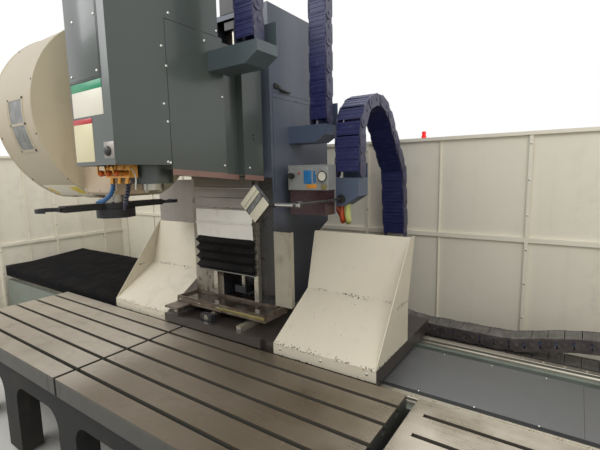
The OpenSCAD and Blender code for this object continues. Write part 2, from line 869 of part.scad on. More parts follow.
// A bent sheet with a raised cheek along one side
module guard(x, cheek_x) {
    low = [guard_y, guard_z];
    lip = [guard_y, guard_lip_z];
    fold = [guard_fold_y, guard_fold_z];
    top = [guard_top_y, guard_top_z];
    back = [guard_t, -guard_t * 0.5];
    color([0.82, 0.79, 0.7]) {
        along_x(x, guard_w) polygon([
            low, lip, fold, top, top + [guard_t, 0], fold + back, lip + back, low + [guard_t, 0]
        ]);
        along_x(cheek_x, guard_t) polygon([
            low, lip, top, top + [guard_flange, 0], fold + [guard_flange, 0],
            [guard_fold_y + guard_flange, saddle_top], [saddle_y, saddle_top], [saddle_y, guard_z]
        ]);
    }
}

module guard_left() {
    guard(saddle_x, saddle_x);
}

module guard_right() {
    guard(saddle_right_x - guard_w, saddle_right_x - guard_t);
}

// Right-angle gearbox and motor that drive the pinion
module x_gearbox() {
    color([0.2, 0.2, 0.22]) difference() {
        union() {
            block([pinion_x - 90, pinion_y - 90, saddle_top], [pinion_x + 90, pinion_y + 90, saddle_top + 240]);
            post(pinion_x, pinion_y, saddle_top + 240 - EPS, 60, 70);
            block(
                [pinion_x - 75, pinion_y - 75, saddle_top + 300 - EPS],
                [pinion_x + 75, pinion_y + 75, saddle_top + 620]
            );
        }
        post(pinion_x, pinion_y, saddle_top - 1, 61, pinion_shaft_r + shaft_fit);
    }
}

// Points of one involute flank, from the root to the tip
function involute(base, from, to, steps) = [
    for (i = [0 : steps])
        let (r = from + (to - from) * i / steps, a = acos(min(1, base / r)))
        [r, tan(a) * 180 / PI - a]
];

module x_pinion() {
    base = pinion_r * cos(20);
    root = pinion_r - 1.2 * gear_module;
    tip = pinion_r + 0.95 * gear_module;
    half = 90 / pinion_teeth - 0.35;
    turn = tan(20) * 180 / PI - 20 + half;
    flank = involute(base, base, tip, 5);
    tooth = concat(
        [[root * cos(turn), -root * sin(turn)]],
        [for (p = flank) p[0] * [cos(turn - p[1]), -sin(turn - p[1])]],
        [for (i = [len(flank) - 1 : -1 : 0]) flank[i][0] * [cos(turn - flank[i][1]), sin(turn - flank[i][1])]],
        [[root * cos(turn), root * sin(turn)]]
    );
    z0 = bed_top - 27 - rack_t + 4;
    outline = [
        for (k = [0 : pinion_teeth - 1]) let (a = -90 + k * 360 / pinion_teeth)
            each [for (p = tooth) [p[0] * cos(a) - p[1] * sin(a), p[0] * sin(a) + p[1] * cos(a)]]
    ];
    color([0.55, 0.54, 0.5]) {
        translate([pinion_x, pinion_y, z0]) linear_extrude(rack_t - 4) polygon(outline);
        post(pinion_x, pinion_y, z0 + 1, saddle_top + 60 - z0 - 1 - slide_gap, pinion_shaft_r);
    }
}

// Arm and post behind the saddle that hold the lower end of the column chain
module y_chain_post() {
    x1 = y_chain_x + y_chain_w + 8;
    y = y_chain_end[0];
    top = y_chain_end[1] - chain_seat(y_link_h);
    color([0.3, 0.33, 0.35]) {
        block([saddle_tail, y - 60, saddle_z + 10], [x1, y + 30, saddle_top]);
        block([y_chain_x - 8, y - 50, saddle_top - 1], [x1, y - 42, top]);
        block([y_chain_x - 8, y - 50, top - 8], [x1, y + 50, top]);
    }
}

// Bearing blocks and motor of the ball screw that moves the column
module y_bearings() {
    color([0.22, 0.23, 0.25]) difference() {
        union() {
            for (y = [y_screw_y0, y_screw_y1 - 50])
                block([column_mid - 60, y, saddle_top], [column_mid + 60, y + 50, y_screw_z + 26]);
            block([column_mid - 65, y_screw_y1 + 10, saddle_top], [column_mid + 65, saddle_back_y - 8, saddle_top + 130]);
        }
        translate([column_mid, y_screw_y0 - 1, y_screw_z]) rotate([-90, 0, 0])
            cylinder(h = y_screw_y1 - y_screw_y0 + 40, r = screw_r + shaft_fit);
    }
}

module y_ball_screw() {
    color([0.66, 0.64, 0.6]) translate([column_mid, y_screw_y0 + 2, y_screw_z]) rotate([-90, 0, 0])
        cylinder(h = y_screw_y1 - y_screw_y0 + 30, r = screw_r);
}

module column() {
    back_y = column_y + column_d;
    foot_y = column_y + column_foot_d;
    inner_y = column_y + recess_d + column_wall;
    seam_z = 2721;
    color([0.36, 0.37, 0.41]) difference() {
        along_x(column_x, column_w) polygon([
            [column_y, column_z], [foot_y, column_z], [foot_y, flare_z - 90], [back_y, flare_z],
            [back_y, column_top], [column_y, column_top]
        ]);
        block(
            [z_axis_x - recess_half, column_y - 1, tray_top],
            [z_axis_x + recess_half, column_y + recess_d, column_top - column_wall]
        );
        block(
            [column_x + column_wall, inner_y, column_z + 60],
            [column_right_x - column_wall, foot_y - column_wall, column_top - column_wall]
        );
        block([column_mid - 250, foot_y - 180, column_z - 1], [column_mid + 250, foot_y - 50, column_z + 61]);
        block([column_right_x - 3, column_y - 1, seam_z], [column_right_x + 1, back_y + 1, seam_z + 3]);
    }
}

// Roller blocks under the column and the nut of its ball screw
module y_carriages() {
    nut_y = column_y + 350;
    color([0.5, 0.52, 0.5]) difference() {
        union() {
            for (side = [-1, 1])
                for (y = [column_y + 250, column_y + column_foot_d - 130])
                    translate([column_mid + side * y_rail_half, y, 0])
                        block([-45, -75, saddle_top + 8], [45, 75, column_z]);
            block([column_mid - 55, nut_y, saddle_top + 4], [column_mid + 55, nut_y + 100, column_z]);
        }
        for (side = [-1, 1]) translate([column_mid + side * y_rail_half, 0, 0]) block(
            [-y_rail_w / 2 - slide_gap, saddle_y, saddle_top],
            [y_rail_w / 2 + slide_gap, saddle_back_y, saddle_top + y_rail_w + slide_gap]
        );
        translate([column_mid, nut_y - 1, y_screw_z]) rotate([-90, 0, 0])
            cylinder(h = 102, r = screw_r + shaft_fit);
    }
}

module z_rails() {
    color([0.66, 0.64, 0.6]) for (side = [-1, 1])
        translate([z_axis_x + side * z_rail_half, 0, 0]) block(
            [-z_rail_w / 2, column_y - z_rail_h, tray_top + 12],
            [z_rail_w / 2, column_y, column_top - 60]
        );
}

// Bearing blocks in the recess and the motor on top of the column
module z_bearings() {
    color([0.22, 0.23, 0.25]) difference() {
        union() {
            for (z = [z_screw_z0, z_screw_z1 - 60]) block(
                [z_axis_x - 60, column_y + 20, z],
                [z_axis_x + 60, column_y + recess_d, z + 60]
            );
            block(
                [z_axis_x - 80, z_screw_y - 80, column_top],
                [z_axis_x + 80, z_screw_y + 80, column_top + 320]
            );
        }
        post(z_axis_x, z_screw_y, z_screw_z0 - 1, z_screw_z1 - z_screw_z0 + 2, screw_r + shaft_fit);
    }
}

module z_ball_screw() {
    color([0.66, 0.64, 0.6])
        post(z_axis_x, z_screw_y, z_screw_z0 + 4, z_screw_z1 - z_screw_z0 - 8, screw_r);
}

// Shallow tray with a folded rim at the foot of the column, with a step plate in front
module drip_tray() {
    z0 = tray_top - tray_h;
    rim = 16;
    color([0.24, 0.22, 0.2]) {
        difference() {
            union() {
                block([column_x, tray_y, z0], [tray_right_x, column_y, tray_top]);
                block([column_right_x, column_y - 1, z0], [tray_right_x, column_y + 60, tray_top]);
            }
            block([column_x + rim, tray_y + rim, tray_top - 20], [tray_right_x - rim, column_y - 4, tray_top + 1]);
            block(
                [column_right_x + rim, column_y - 5, tray_top - 20],
                [tray_right_x - rim, column_y + 60 - rim, tray_top + 1]
            );
            block([column_x - 1, tray_y - 1, tray_top - 9], [tray_right_x + 1, tray_y + 5, tray_top - 5]);
        }
        block([column_x + 10, tray_y - 140, z0], [column_x + 180, tray_y, z0 + 8]);
        block([column_x + 10, tray_y - 146, z0 - 4], [column_x + 180, tray_y - 138, z0 + 8]);
    }
}

module steel_wing() {
    color([0.5, 0.49, 0.47])
        block([wing_x, column_y, wing_z], [column_x, column_y + 6, wing_top]);
}

module filler_panel() {
    color([0.74, 0.71, 0.62]) {
        block([column_right_x, column_y, tray_top], [filler_right_x, column_y + 4, filler_top]);
        block([filler_right_x - 4, column_y, tray_top + 1], [filler_right_x, column_y + 40, filler_top]);
    }
}

// Housing of the lubricator on its back plate, with a gauge and a knob
module lubricator() {
    x1 = oiler_x + oiler_w;
    y1 = oiler_y + oiler_d;
    z1 = oiler_z + oiler_h;
    color([0.62, 0.63, 0.62]) {
        block([oiler_x, oiler_y, oiler_z], [x1, y1 + 1, z1]);
        block([column_right_x, y1, oiler_z - oiler_tank_h], [x1, y1 + 6, z1]);
        translate([oiler_x + 38, oiler_y, z1 - 60]) rotate([90, 0, 0]) cylinder(h = 26, r = 22);
        translate([x1 - 42, oiler_y, z1 - 55]) rotate([90, 0, 0]) cylinder(h = 22, r = 36);
    }
}

module oil_tank() {
    color([0.45, 0.3, 0.3, 0.6]) difference() {
        block(
            [oiler_x + 10, oiler_y + 5, oiler_z - oiler_tank_h],
            [oiler_x + oiler_w - 10, oiler_y + oiler_d, oiler_z]
        );
        block(
            [oiler_x + 14, oiler_y + 9, oiler_z - oiler_tank_h + 4],
            [oiler_x + oiler_w - 14, oiler_y + oiler_d - 4, oiler_z + 1]
        );
    }
}

// Bent rod from the chain bracket to the lamp
module lamp_rod() {
    elbow_x = y_chain_x + 60;
    arm_y = y_bracket_y;
    color([0.55, 0.55, 0.56]) {
        translate([lamp_x + lamp_side * 0.5, lamp_y, lamp_z]) rotate([0, 90, 0])
            cylinder(h = elbow_x - lamp_x - lamp_side * 0.5, r = lamp_rod_r);
        block([elbow_x - 60, lamp_y - 24, lamp_z - 24], [elbow_x + 24, lamp_y + 24, lamp_z + 24]);
        translate([elbow_x, lamp_y, lamp_z]) rotate([-90, 0, 0])
            cylinder(h = arm_y - lamp_y, r = lamp_rod_r);
        translate([elbow_x, arm_y - 12, lamp_z]) rotate([-90, 0, 0]) cylinder(h = 12, r = 34);
    }
}

// Square lamp standing on its corner, with a dark bar between two light fields
module work_lamp() {
    hub_x = lamp_x + lamp_side * 0.5;
    color([0.8, 0.78, 0.7]) difference() {
        union() {
            translate([lamp_x, lamp_y, lamp_z]) rotate([0, 45, 0]) difference() {
                cube([lamp_side, lamp_t, lamp_side], center = true);
                translate([0, -lamp_t / 2, 0]) cube([lamp_side * 0.22, 6, lamp_side + 2], center = true);
            }
            translate([lamp_x + lamp_side * 0.4, lamp_y, lamp_z]) rotate([0, 90, 0])
                cylinder(h = lamp_side * 0.5, r = lamp_t / 2 - 2);
        }
        translate([hub_x, lamp_y, lamp_z]) rotate([0, 90, 0])
            cylinder(h = lamp_side, r = lamp_rod_r + shaft_fit);
    }
}

// Bracket that carries an upright chain; wide at the top, sloped underneath
module chain_bracket(x0, x1, y0, y1, z0, z1, slope) {
    along_y(y0, y1 - y0)
        polygon([[x0, z0], [x1 - slope, z0], [x1, z0 + slope * 0.6], [x1, z1], [x0, z1]]);
}

module column_chain_bracket() {
    y0 = z_chain_back_y - 97;
    y1 = z_chain_back_y + 103;
    x1 = z_chain_x + z_chain_w + 8;
    color([0.33, 0.37, 0.4]) {
        chain_bracket(column_right_x, x1, y0, y1, z_chain_back_z - 178, z_chain_back_z - chain_seat(z_link_h), 90);
        block([z_chain_x - 8, y1 - 6, z_chain_back_z - 60], [x1, y1, z_chain_back_z + 130]);
    }
}

module y_chain_bracket() {
    y1 = y_bracket_y + 160;
    x1 = y_chain_x + y_chain_w - 15;
    top = y_chain_start[1] - chain_seat(y_link_h);
    color([0.3, 0.33, 0.4]) {
        chain_bracket(column_right_x, x1, y_bracket_y, y1, top - 215, top, 130);
        block([y_chain_x - 8, y1 - 6, top - 10], [x1, y1, top + 110]);
    }
}

// Casting that carries the spindle, with a waist in front of the slide flange
module head_casting() {
    slope = (head_z - head_back_z) / (slide_y - head_y);
    seam_z = head_z - slope * (hood_seam_y - head_y);
    waist_z = head_z - slope * (waist_y - head_y);
    flange_z = head_z - slope * (flange_y - head_y);
    nut_z = 2440;
    color([0.31, 0.35, 0.34]) difference() {
        union() {
            along_x(head_x, head_right_x - head_x) polygon([
                [hood_seam_y, seam_z], [waist_y, waist_z], [waist_y, head_top], [hood_seam_y, head_top]
            ]);
            along_x(waist_x, head_right_x - waist_in - waist_x) polygon([
                [waist_y - 1, waist_z], [flange_y + 1, flange_z], [flange_y + 1, head_top],
                [waist_y - 1, head_top]
            ]);
            along_x(flange_x, head_right_x - flange_x) polygon([
                [flange_y, flange_z], [slide_y, head_back_z], [slide_y, head_top], [flange_y, head_top]
            ]);
            block(
                [spindle_x - housing_r, spindle_y - housing_r - 15, head_z + 6],
                [spindle_x + housing_r, hood_seam_y + 1, head_top - 60]
            );
            post(spindle_x, spindle_y, spindle_z + nose_h + 2, head_z - spindle_z, housing_r);
            block([z_axis_x - 60, slide_y - 1, nut_z], [z_axis_x + 60, z_screw_y + 45, nut_z + 120]);
        }
        post(spindle_x, spindle_y, spindle_z, head_top - spindle_z + 1, nose_r - 4 + shaft_fit);
        post(z_axis_x, z_screw_y, nut_z - 1, 122, screw_r + shaft_fit);
        block([head_x + 40, waist_y - 180, head_back_z + 150], [head_right_x - 100, flange_y - 40, head_top + 1]);
        block([flange_x + 100, flange_y + 35, head_back_z + 480], [head_right_x - 60, slide_y - 35, head_top + 1]);
        for (z = [2395, 2425]) translate([head_right_x - 20, (flange_y + slide_y) / 2, z]) rotate([0, 90, 0])
            cylinder(h = 21, r = 7);
    }
}

// Folded sheet hood over the front of the head, open below and behind
module front_hood() {
    difference() {
        block([head_x, head_y, head_z], [head_right_x, hood_seam_y, hood_top]);
        block(
            [head_x + hood_t, head_y + hood_t, head_z - 1],
            [head_right_x - hood_t, hood_seam_y + 1, hood_top - hood_t]
        );
        translate([button_x, head_y - 1, button_z]) rotate([-90, 0, 0])
            cylinder(h = hood_t + 2, r = button_r + shaft_fit);
    }
}

// Sheet hood over the motor, open below and towards the front hood
module motor_hood() {
    difference() {
        block([head_x, hood_seam_y + slide_gap, head_top], [head_right_x, waist_y - 34, hood_top]);
        block(
            [head_x + hood_t, hood_seam_y - 1, head_top - 1],
            [head_right_x - hood_t, waist_y - 34 - hood_t, hood_top - hood_t]
        );
    }
}

module head_hoods() {
    color([0.31, 0.35, 0.34]) {
        front_hood();
        motor_hood();
    }
}

// Roller blocks on the back of the head
module z_carriages() {
    color([0.5, 0.52, 0.5]) difference() {
        for (side = [-1, 1])
            for (z = [head_back_z + 60, head_top - 240])
                translate([z_axis_x + side * z_rail_half, 0, z])
                    block([-43, slide_y, 0], [43, column_y - 8, 150]);
        for (side = [-1, 1]) translate([z_axis_x + side * z_rail_half, 0, 0]) block(
            [-z_rail_w / 2 - slide_gap, column_y - z_rail_h - slide_gap, head_back_z],
            [z_rail_w / 2 + slide_gap, column_y, head_top]
        );
    }
}

// Steel steps and a plain card that hang below the head
module z_way_cover() {
    x1 = cover_x + cover_w;
    step = (head_back_z - 2 - cover_step_z) / 3;
    y = cover_y;
    color([0.55, 0.53, 0.5]) {
        for (i = [0 : 2]) block(
            [cover_x + i * 2, y - 4 * (3 - i), cover_step_z + (2 - i) * step - 6],
            [x1 - i * 2, y + 4, cover_step_z + (3 - i) * step]
        );
        block([cover_x, slide_y, head_back_z - 12], [x1, slide_y + 6, head_back_z + 50]);
        block([cover_x + 6, y - 2, cover_card_z], [x1 - 6, y + 1, cover_step_z + 2]);
    }
}

// Black pleats below the card
module z_bellows() {
    count = 4;
    pitch = (cover_card_z - cover_end_z) / count;
    y = cover_y;
    zig = [for (i = [0 : count - 1]) let (z = cover_card_z - i * pitch) each [
        [y - 4, z], [y - 30, z - pitch / 2]
    ]];
    color([0.08, 0.08, 0.09]) along_x(cover_x + 10, cover_w - 14)
        polygon(concat([[y + 20, cover_end_z], [y + 20, cover_card_z]], zig, [[y - 4, cover_end_z]]));
}

module head_chain_bracket() {
    y0 = z_chain_front_y - 93;
    y1 = z_chain_front_y + 100;
    x1 = z_chain_x + z_chain_w + 55;
    color([0.33, 0.38, 0.38]) {
        chain_bracket(
            head_right_x, x1, y0, y1, z_chain_front_z - 165, z_chain_front_z - chain_seat(z_link_h), 96
        );
        block([z_chain_x + 50, y1 - 6, z_chain_front_z - 60], [x1, y1, z_chain_front_z + 98]);
    }
}

module spindle_motor() {
    color([0.15, 0.15, 0.16]) {
        post(spindle_x, spindle_y, head_top, 20, 130);
        post(spindle_x, spindle_y, head_top + 20 - EPS, motor_h - 80, 105);
    }
}

// Rotor with the tool taper, drive keys and threaded holes in its nose
module spindle() {
    top_z = head_top - 60;
    color([0.6, 0.58, 0.54]) difference() {
        union() {
            post(spindle_x, spindle_y, spindle_z, nose_h, nose_r);
            post(spindle_x, spindle_y, spindle_z + nose_h - EPS, top_z - spindle_z - nose_h, nose_r - 4);
            for (side = [-1, 1]) translate([spindle_x, spindle_y + side * (taper_r + 14), spindle_z - 12])
                translate([-12.5, -8, 0]) cube([25, 16, 13]);
        }
        translate([spindle_x, spindle_y, spindle_z - EPS]) rotate_extrude() polygon([
            [0, 0], [taper_r, 0], [taper_r - taper_slope * taper_l, taper_l], [0, taper_l]
        ]);
        post(spindle_x, spindle_y, spindle_z + taper_l - 1, 60, 12.5);
        for (i = [0 : 3])
            translate([spindle_x, spindle_y, spindle_z - 1]) rotate([0, 0, 45 + 90 * i])
                translate([nose_bolt_circle_r, 0, 0]) cylinder(h = 26, r = nose_bolt_r);
    }
}

// Ringed push button on the front of the hood
module unclamp_button() {
    color([0.1, 0.5, 0.35]) translate([button_x, head_y - 14, button_z]) rotate([-90, 0, 0])
        cylinder(h = 14 + hood_t + 6, r = button_r);
}

// Manifold under the head with its valves and taps
module coolant_valves() {
    y0 = spindle_y - housing_r - 50;
    color([0.75, 0.4, 0.12]) {
        block(
            [spindle_x - housing_r, y0 - 20, head_z - 70],
            [spindle_x + 60, spindle_y - housing_r - 15, head_z + 40]
        );
        block([spindle_x - 190, y0 - 20, head_z - 70], [spindle_x - housing_r + 1, y0 + 20, head_z - 4]);
        for (i = [0 : 2]) {
            x = spindle_x - 160 + i * 80;
            translate([x, y0 - 60, head_z - 42]) rotate([-90, 0, 0]) cylinder(h = 41, r = 16);
            post(x, y0 + 5, head_z - 104, 35, 13);
        }
    }
}

// Jointed hoses, ball after ball, from the manifold down to their tips
module coolant_nozzles() {
    y0 = spindle_y - housing_r - 45;
    hoses = [
        [[0.1, 0.35, 0.6], [spindle_x - 160, y0, head_z - 118], [spindle_x - 290, y0 - 20, 1990]],
        [[0.12, 0.13, 0.2], [spindle_x, y0, head_z - 118], [spindle_x - 8, y0 - 20, 1990]]
    ];
    for (hose = hoses) color(hose[0]) {
        from = hose[1];
        to = hose[2];
        steps = ceil(norm(to - from) / 20);
        side = [(2 * from[0] + to[0]) / 3, from[1], (from[2] + to[2]) / 2];
        dots = [for (i = [0 : steps]) let (t = i / steps)
            (1 - t) * (1 - t) * from + 2 * t * (1 - t) * side + t * t * to];
        post(from[0], from[1], from[2], 14, 13);
        for (i = [0 : steps]) translate(dots[i]) sphere(r = 14, $fn = 10);
    }
}

// Box of the cams that lift and turn the change arm, with the bracket that holds it and the drum
module cam_box() {
    x0 = drum_x + drum_l;
    x1 = head_x - 3;
    back_y = spindle_y + 145;
    side_x = flange_x - 8;
    color([0.8, 0.68, 0.6]) difference() {
        union() {
            block([x0, spindle_y - 145, cam_box_z + 30], [x1, back_y, cam_box_top]);
            block([x0 + 20, spindle_y - 120, cam_box_z], [x1 - 67, spindle_y + 120, cam_box_z + 31]);
            block([x0, back_y - 1, cam_box_z + 320], [side_x, column_y, cam_box_top + 160]);
            translate([0, 0, cam_box_z + 420]) linear_extrude(cam_box_top - cam_box_z - 260) polygon([
                [side_x, column_y - 150], [side_x, column_y], [column_x, column_y],
                [column_x, column_y + 170], [drum_x + 30, column_y + 10], [drum_x + 30, column_y - 150]
            ]);
        }
        translate([drum_x - 1, drum_y, drum_z]) rotate([0, 90, 0])
            cylinder(h = drum_l + 1, r = drum_r + slide_gap, $fn = 96);
        post(arm_hub_x, spindle_y, cam_box_z - 1, cam_box_top - cam_box_z - 40, arm_sleeve_r + shaft_fit);
    }
}

// Sleeve that slides in the cam box and carries the turning shaft of the arm
module arm_sleeve() {
    z0 = arm_z + arm_t + slide_gap;
    color([0.2, 0.2, 0.21]) difference() {
        post(arm_hub_x, spindle_y, z0, cam_box_top - 150 - z0, arm_sleeve_r);
        post(arm_hub_x, spindle_y, z0 - 1, cam_box_top - z0, arm_shaft_r + shaft_fit);
    }
}

// Twin arm with open grips on opposite sides, its shaft and the flange below
module change_arm() {
    wrist = arm_reach - grip_r - 30;
    color([0.1, 0.1, 0.11]) translate([arm_hub_x, spindle_y, 0]) {
        translate([0, 0, arm_z]) linear_extrude(arm_t) {
            circle(arm_hub_r);
            translate([-42, -wrist]) square([84, 2 * wrist]);
        }
        for (turn = [90, 270]) rotate(turn)
            translate([0, 0, arm_z + (arm_t - grip_t) / 2]) linear_extrude(grip_t) difference() {
                union() {
                    translate([wrist - 20, -42]) square([grip_r + 30, 84]);
                    translate([arm_reach, 0]) circle(grip_r + 22);
                }
                translate([arm_reach, 0]) circle(grip_r);
                translate([arm_reach - grip_r + 8, 0]) square([2 * grip_r - 16, grip_r + 40]);
            }
        post(0, 0, arm_z - arm_flange_h, arm_flange_h + EPS, arm_flange_r);
        post(0, 0, arm_z + arm_t - EPS, cam_box_top - 100 - arm_z - arm_t, arm_shaft_r);
    }
}

// Drum of folded sheet with a flat bottom, a window in its rim and ways out for the tipped pot,
// at its station and under the bracket at the back, where a pot is reached by hand
module tool_drum() {
    bore = pot_r + 20;
    drop = pot_tilt_z - drum_flat_z;
    // Height of a tipped pot once the disc has turned a quarter
    back_z = drum_z + spindle_y - drum_y;
    reach = sqrt(pow(pot_front, 2) + pow(pot_r, 2) - pow(drop, 2)) + 15;
    color([0.79, 0.74, 0.62]) difference() {
        intersection() {
            translate([drum_x, drum_y, drum_z]) rotate([0, 90, 0]) cylinder(h = drum_l, r = drum_r, $fn = 96);
            block([drum_x, drum_y - drum_r, drum_flat_z], [drum_x + drum_l, drum_y + drum_r, drum_z + drum_r]);
        }
        intersection() {
            translate([drum_x + drum_t, drum_y, drum_z]) rotate([0, 90, 0])
                cylinder(h = drum_l - 2 * drum_t, r = drum_r - drum_t, $fn = 96);
            block(
                [drum_x, drum_y - drum_r, drum_flat_z + drum_t],
                [drum_x + drum_l, drum_y + drum_r, drum_z + drum_r]
            );
        }
        block([pot_x - bore, spindle_y - bore, drum_flat_z - 20], [pot_x + reach, spindle_y + bore, drum_flat_z + 60]);
        block(
            [pot_x - bore, drum_y + drum_r - 90, back_z - bore],
            [pot_x + reach, drum_y + drum_r + 1, back_z + bore]
        );
        translate([drum_x + 205, drum_y, drum_z]) rotate([0, 90, 0]) rotate([0, 0, -95])
            rotate_extrude(angle = 30, $fn = 96) translate([drum_r - drum_t / 2, 0]) square([drum_t, 235]);
        translate([drum_x - 1, drum_y, drum_z]) rotate([0, 90, 0]) cylinder(h = drum_t + 2, r = hub_r + shaft_fit);
    }
}

// One pot with its taper and pins, pointing along +X from its pin
module pot() {
    difference() {
        union() {
            translate([-pot_back, 0, 0]) rotate([0, 90, 0]) cylinder(h = pot_back + pot_front, r = pot_r);
            translate([0, pot_r + 9, 0]) rotate([90, 0, 0]) cylinder(h = 2 * pot_r + 18, r = pot_pin_r);
        }
        translate([pot_front + EPS, 0, 0]) rotate([0, -90, 0]) rotate_extrude() polygon([
            [0, 0], [taper_r, 0], [taper_r - taper_slope * taper_l, taper_l], [0, taper_l]
        ]);
    }
}

// Angle of the pot at the change station from the lowest place of the circle
function station_angle() = asin((drum_y - spindle_y) / pot_circle_r);

// Ears on the disc that hold one pot
module pot_ears() {
    for (side = [-1, 1]) difference() {
        translate([0, side * (pot_r + 5), 0]) block([-disc_back - 1, -3.5, -18], [16, 3.5, 18]);
        translate([0, side * (pot_r + 12), 0]) rotate([90 * side, 0, 0])
            cylinder(h = 20, r = pot_pin_r + shaft_fit);
    }
}

// Carries a pot from the middle of the drum to its place on the circle
module at_pot(i) {
    a = station_angle() + i * 360 / pot_count;
    translate([pot_x, drum_y, drum_z]) rotate([-a, 0, 0]) translate([0, 0, -pot_circle_r])
        rotate([station_angle(), 0, 0]) children();
}

module pot_disc() {
    color([0.35, 0.36, 0.38]) {
        translate([pot_x - disc_back - disc_t, drum_y, drum_z]) rotate([0, 90, 0]) difference() {
            cylinder(h = disc_t, r = pot_circle_r + 75, $fn = 96);
            for (i = [0 : 5]) rotate([0, 0, i * 60]) translate([hub_r + 165, 0, -1])
                cylinder(h = disc_t + 2, r = 90);
        }
        translate([drum_x - 20, drum_y, drum_z]) rotate([0, 90, 0])
            cylinder(h = pot_x - disc_back - drum_x + 40, r = hub_r);
        for (i = [0 : pot_count - 1]) at_pot(i) pot_ears();
    }
}

module tool_pots() {
    color([0.2, 0.21, 0.24]) for (i = [1 : pot_count - 1]) at_pot(i) pot();
}

module tipping_pot() {
    color([0.2, 0.21, 0.24]) at_pot(0) pot();
}

table_stand();
table_left();
table_center();
table_right();
leveling_feet();
x_bed();
x_rails();
x_rack();
way_cover_sheet();
x_way_bellows();
cable_trough();
x_drag_chain();
wall_frame();
back_wall();
side_walls();
alarm_lamp();
saddle();
x_carriages();
y_rails();
guard_left();
guard_right();
x_gearbox();
x_pinion();
y_chain_post();
y_bearings();
y_ball_screw();
column();
y_carriages();
z_rails();
z_bearings();
z_ball_screw();
drip_tray();
steel_wing();
filler_panel();
lubricator();
oil_tank();
lamp_rod();
work_lamp();
column_chain_bracket();
y_chain_bracket();
y_drag_chain();
z_drag_chain();
head_casting();
head_hoods();
z_carriages();
z_way_cover();
z_bellows();
head_chain_bracket();
spindle_motor();
spindle();
unclamp_button();
coolant_valves();
coolant_nozzles();
cam_box();
arm_sleeve();
change_arm();
tool_drum();
pot_disc();
tool_pots();
tipping_pot();
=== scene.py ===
"""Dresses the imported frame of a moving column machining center: its finishes, covers, chains and small fittings.

Lengths are in metres, in the frame of the CAD model: X along the bed, Y from the tables to the back wall, Z up.
"""

from __future__ import annotations

import json
import logging
import math
from dataclasses import dataclass
from enum import Enum
from functools import cache

import bmesh
import bpy
import numpy as np
from mathutils import Matrix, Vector
from numpy.typing import ArrayLike

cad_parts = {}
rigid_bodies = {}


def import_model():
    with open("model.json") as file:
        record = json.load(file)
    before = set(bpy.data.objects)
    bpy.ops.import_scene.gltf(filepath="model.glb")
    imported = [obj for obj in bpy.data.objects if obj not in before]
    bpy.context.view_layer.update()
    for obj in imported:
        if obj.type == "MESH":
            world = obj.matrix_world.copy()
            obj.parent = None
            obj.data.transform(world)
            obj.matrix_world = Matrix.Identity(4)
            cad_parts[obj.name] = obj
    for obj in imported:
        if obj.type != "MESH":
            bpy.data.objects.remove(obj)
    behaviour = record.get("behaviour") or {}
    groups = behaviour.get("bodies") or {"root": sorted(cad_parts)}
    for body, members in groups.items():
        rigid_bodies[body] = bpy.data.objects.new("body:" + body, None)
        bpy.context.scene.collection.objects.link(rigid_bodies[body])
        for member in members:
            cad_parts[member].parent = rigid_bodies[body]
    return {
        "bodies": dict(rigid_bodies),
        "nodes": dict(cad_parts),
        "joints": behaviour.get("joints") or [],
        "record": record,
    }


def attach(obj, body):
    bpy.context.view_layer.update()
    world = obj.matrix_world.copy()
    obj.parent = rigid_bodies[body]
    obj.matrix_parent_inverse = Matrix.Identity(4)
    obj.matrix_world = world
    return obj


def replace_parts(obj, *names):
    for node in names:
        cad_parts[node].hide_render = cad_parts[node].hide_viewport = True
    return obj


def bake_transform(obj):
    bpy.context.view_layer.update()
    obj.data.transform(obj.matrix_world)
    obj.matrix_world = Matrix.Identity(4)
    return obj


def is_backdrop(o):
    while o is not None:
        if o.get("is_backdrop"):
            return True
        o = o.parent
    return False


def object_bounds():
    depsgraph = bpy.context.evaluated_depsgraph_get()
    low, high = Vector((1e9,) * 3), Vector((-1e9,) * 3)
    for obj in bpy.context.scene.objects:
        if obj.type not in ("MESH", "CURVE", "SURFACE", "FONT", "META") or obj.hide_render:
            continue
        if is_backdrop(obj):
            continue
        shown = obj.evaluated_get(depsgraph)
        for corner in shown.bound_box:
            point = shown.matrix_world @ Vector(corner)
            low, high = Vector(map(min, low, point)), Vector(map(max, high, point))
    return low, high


LOG = logging.getLogger("machining_center")

Rgb = tuple[float, float, float]
Point = tuple[float, float, float]
Span = tuple[float, float]
Row = tuple[float, ...]
Outline = tuple[Span, ...]
Line = tuple[Point, ...]
Corners = tuple[Span, Span]
Block = tuple[Point, Point]
Trio = tuple[float, float, float]

TO_RIGHT: Point = (1.0, 0.0, 0.0)
TO_FRONT: Point = (0.0, -1.0, 0.0)
UP: Point = (0.0, 0.0, 1.0)


def srgb(red: float, green: float, blue: float) -> Rgb:
    """Turns a colour read on a screen, 0 to 255, into the linear values that a shader takes.

    Args:
        red: Red as shown.
        green: Green as shown.
        blue: Blue as shown.

    Returns:
        Each channel over 255, then (c + 0.055) / 1.055 to the power 2.4, or c / 12.92 where it is dark.
    """
    shown = np.array([red, green, blue]) / 255.0
    linear = np.where(shown <= 0.04045, shown / 12.92, ((shown + 0.055) / 1.055) ** 2.4)
    return float(linear[0]), float(linear[1]), float(linear[2])


class Axis(Enum):
    """The axes of the frame, by their column in an array of points."""

    X = 0
    Y = 1
    Z = 2


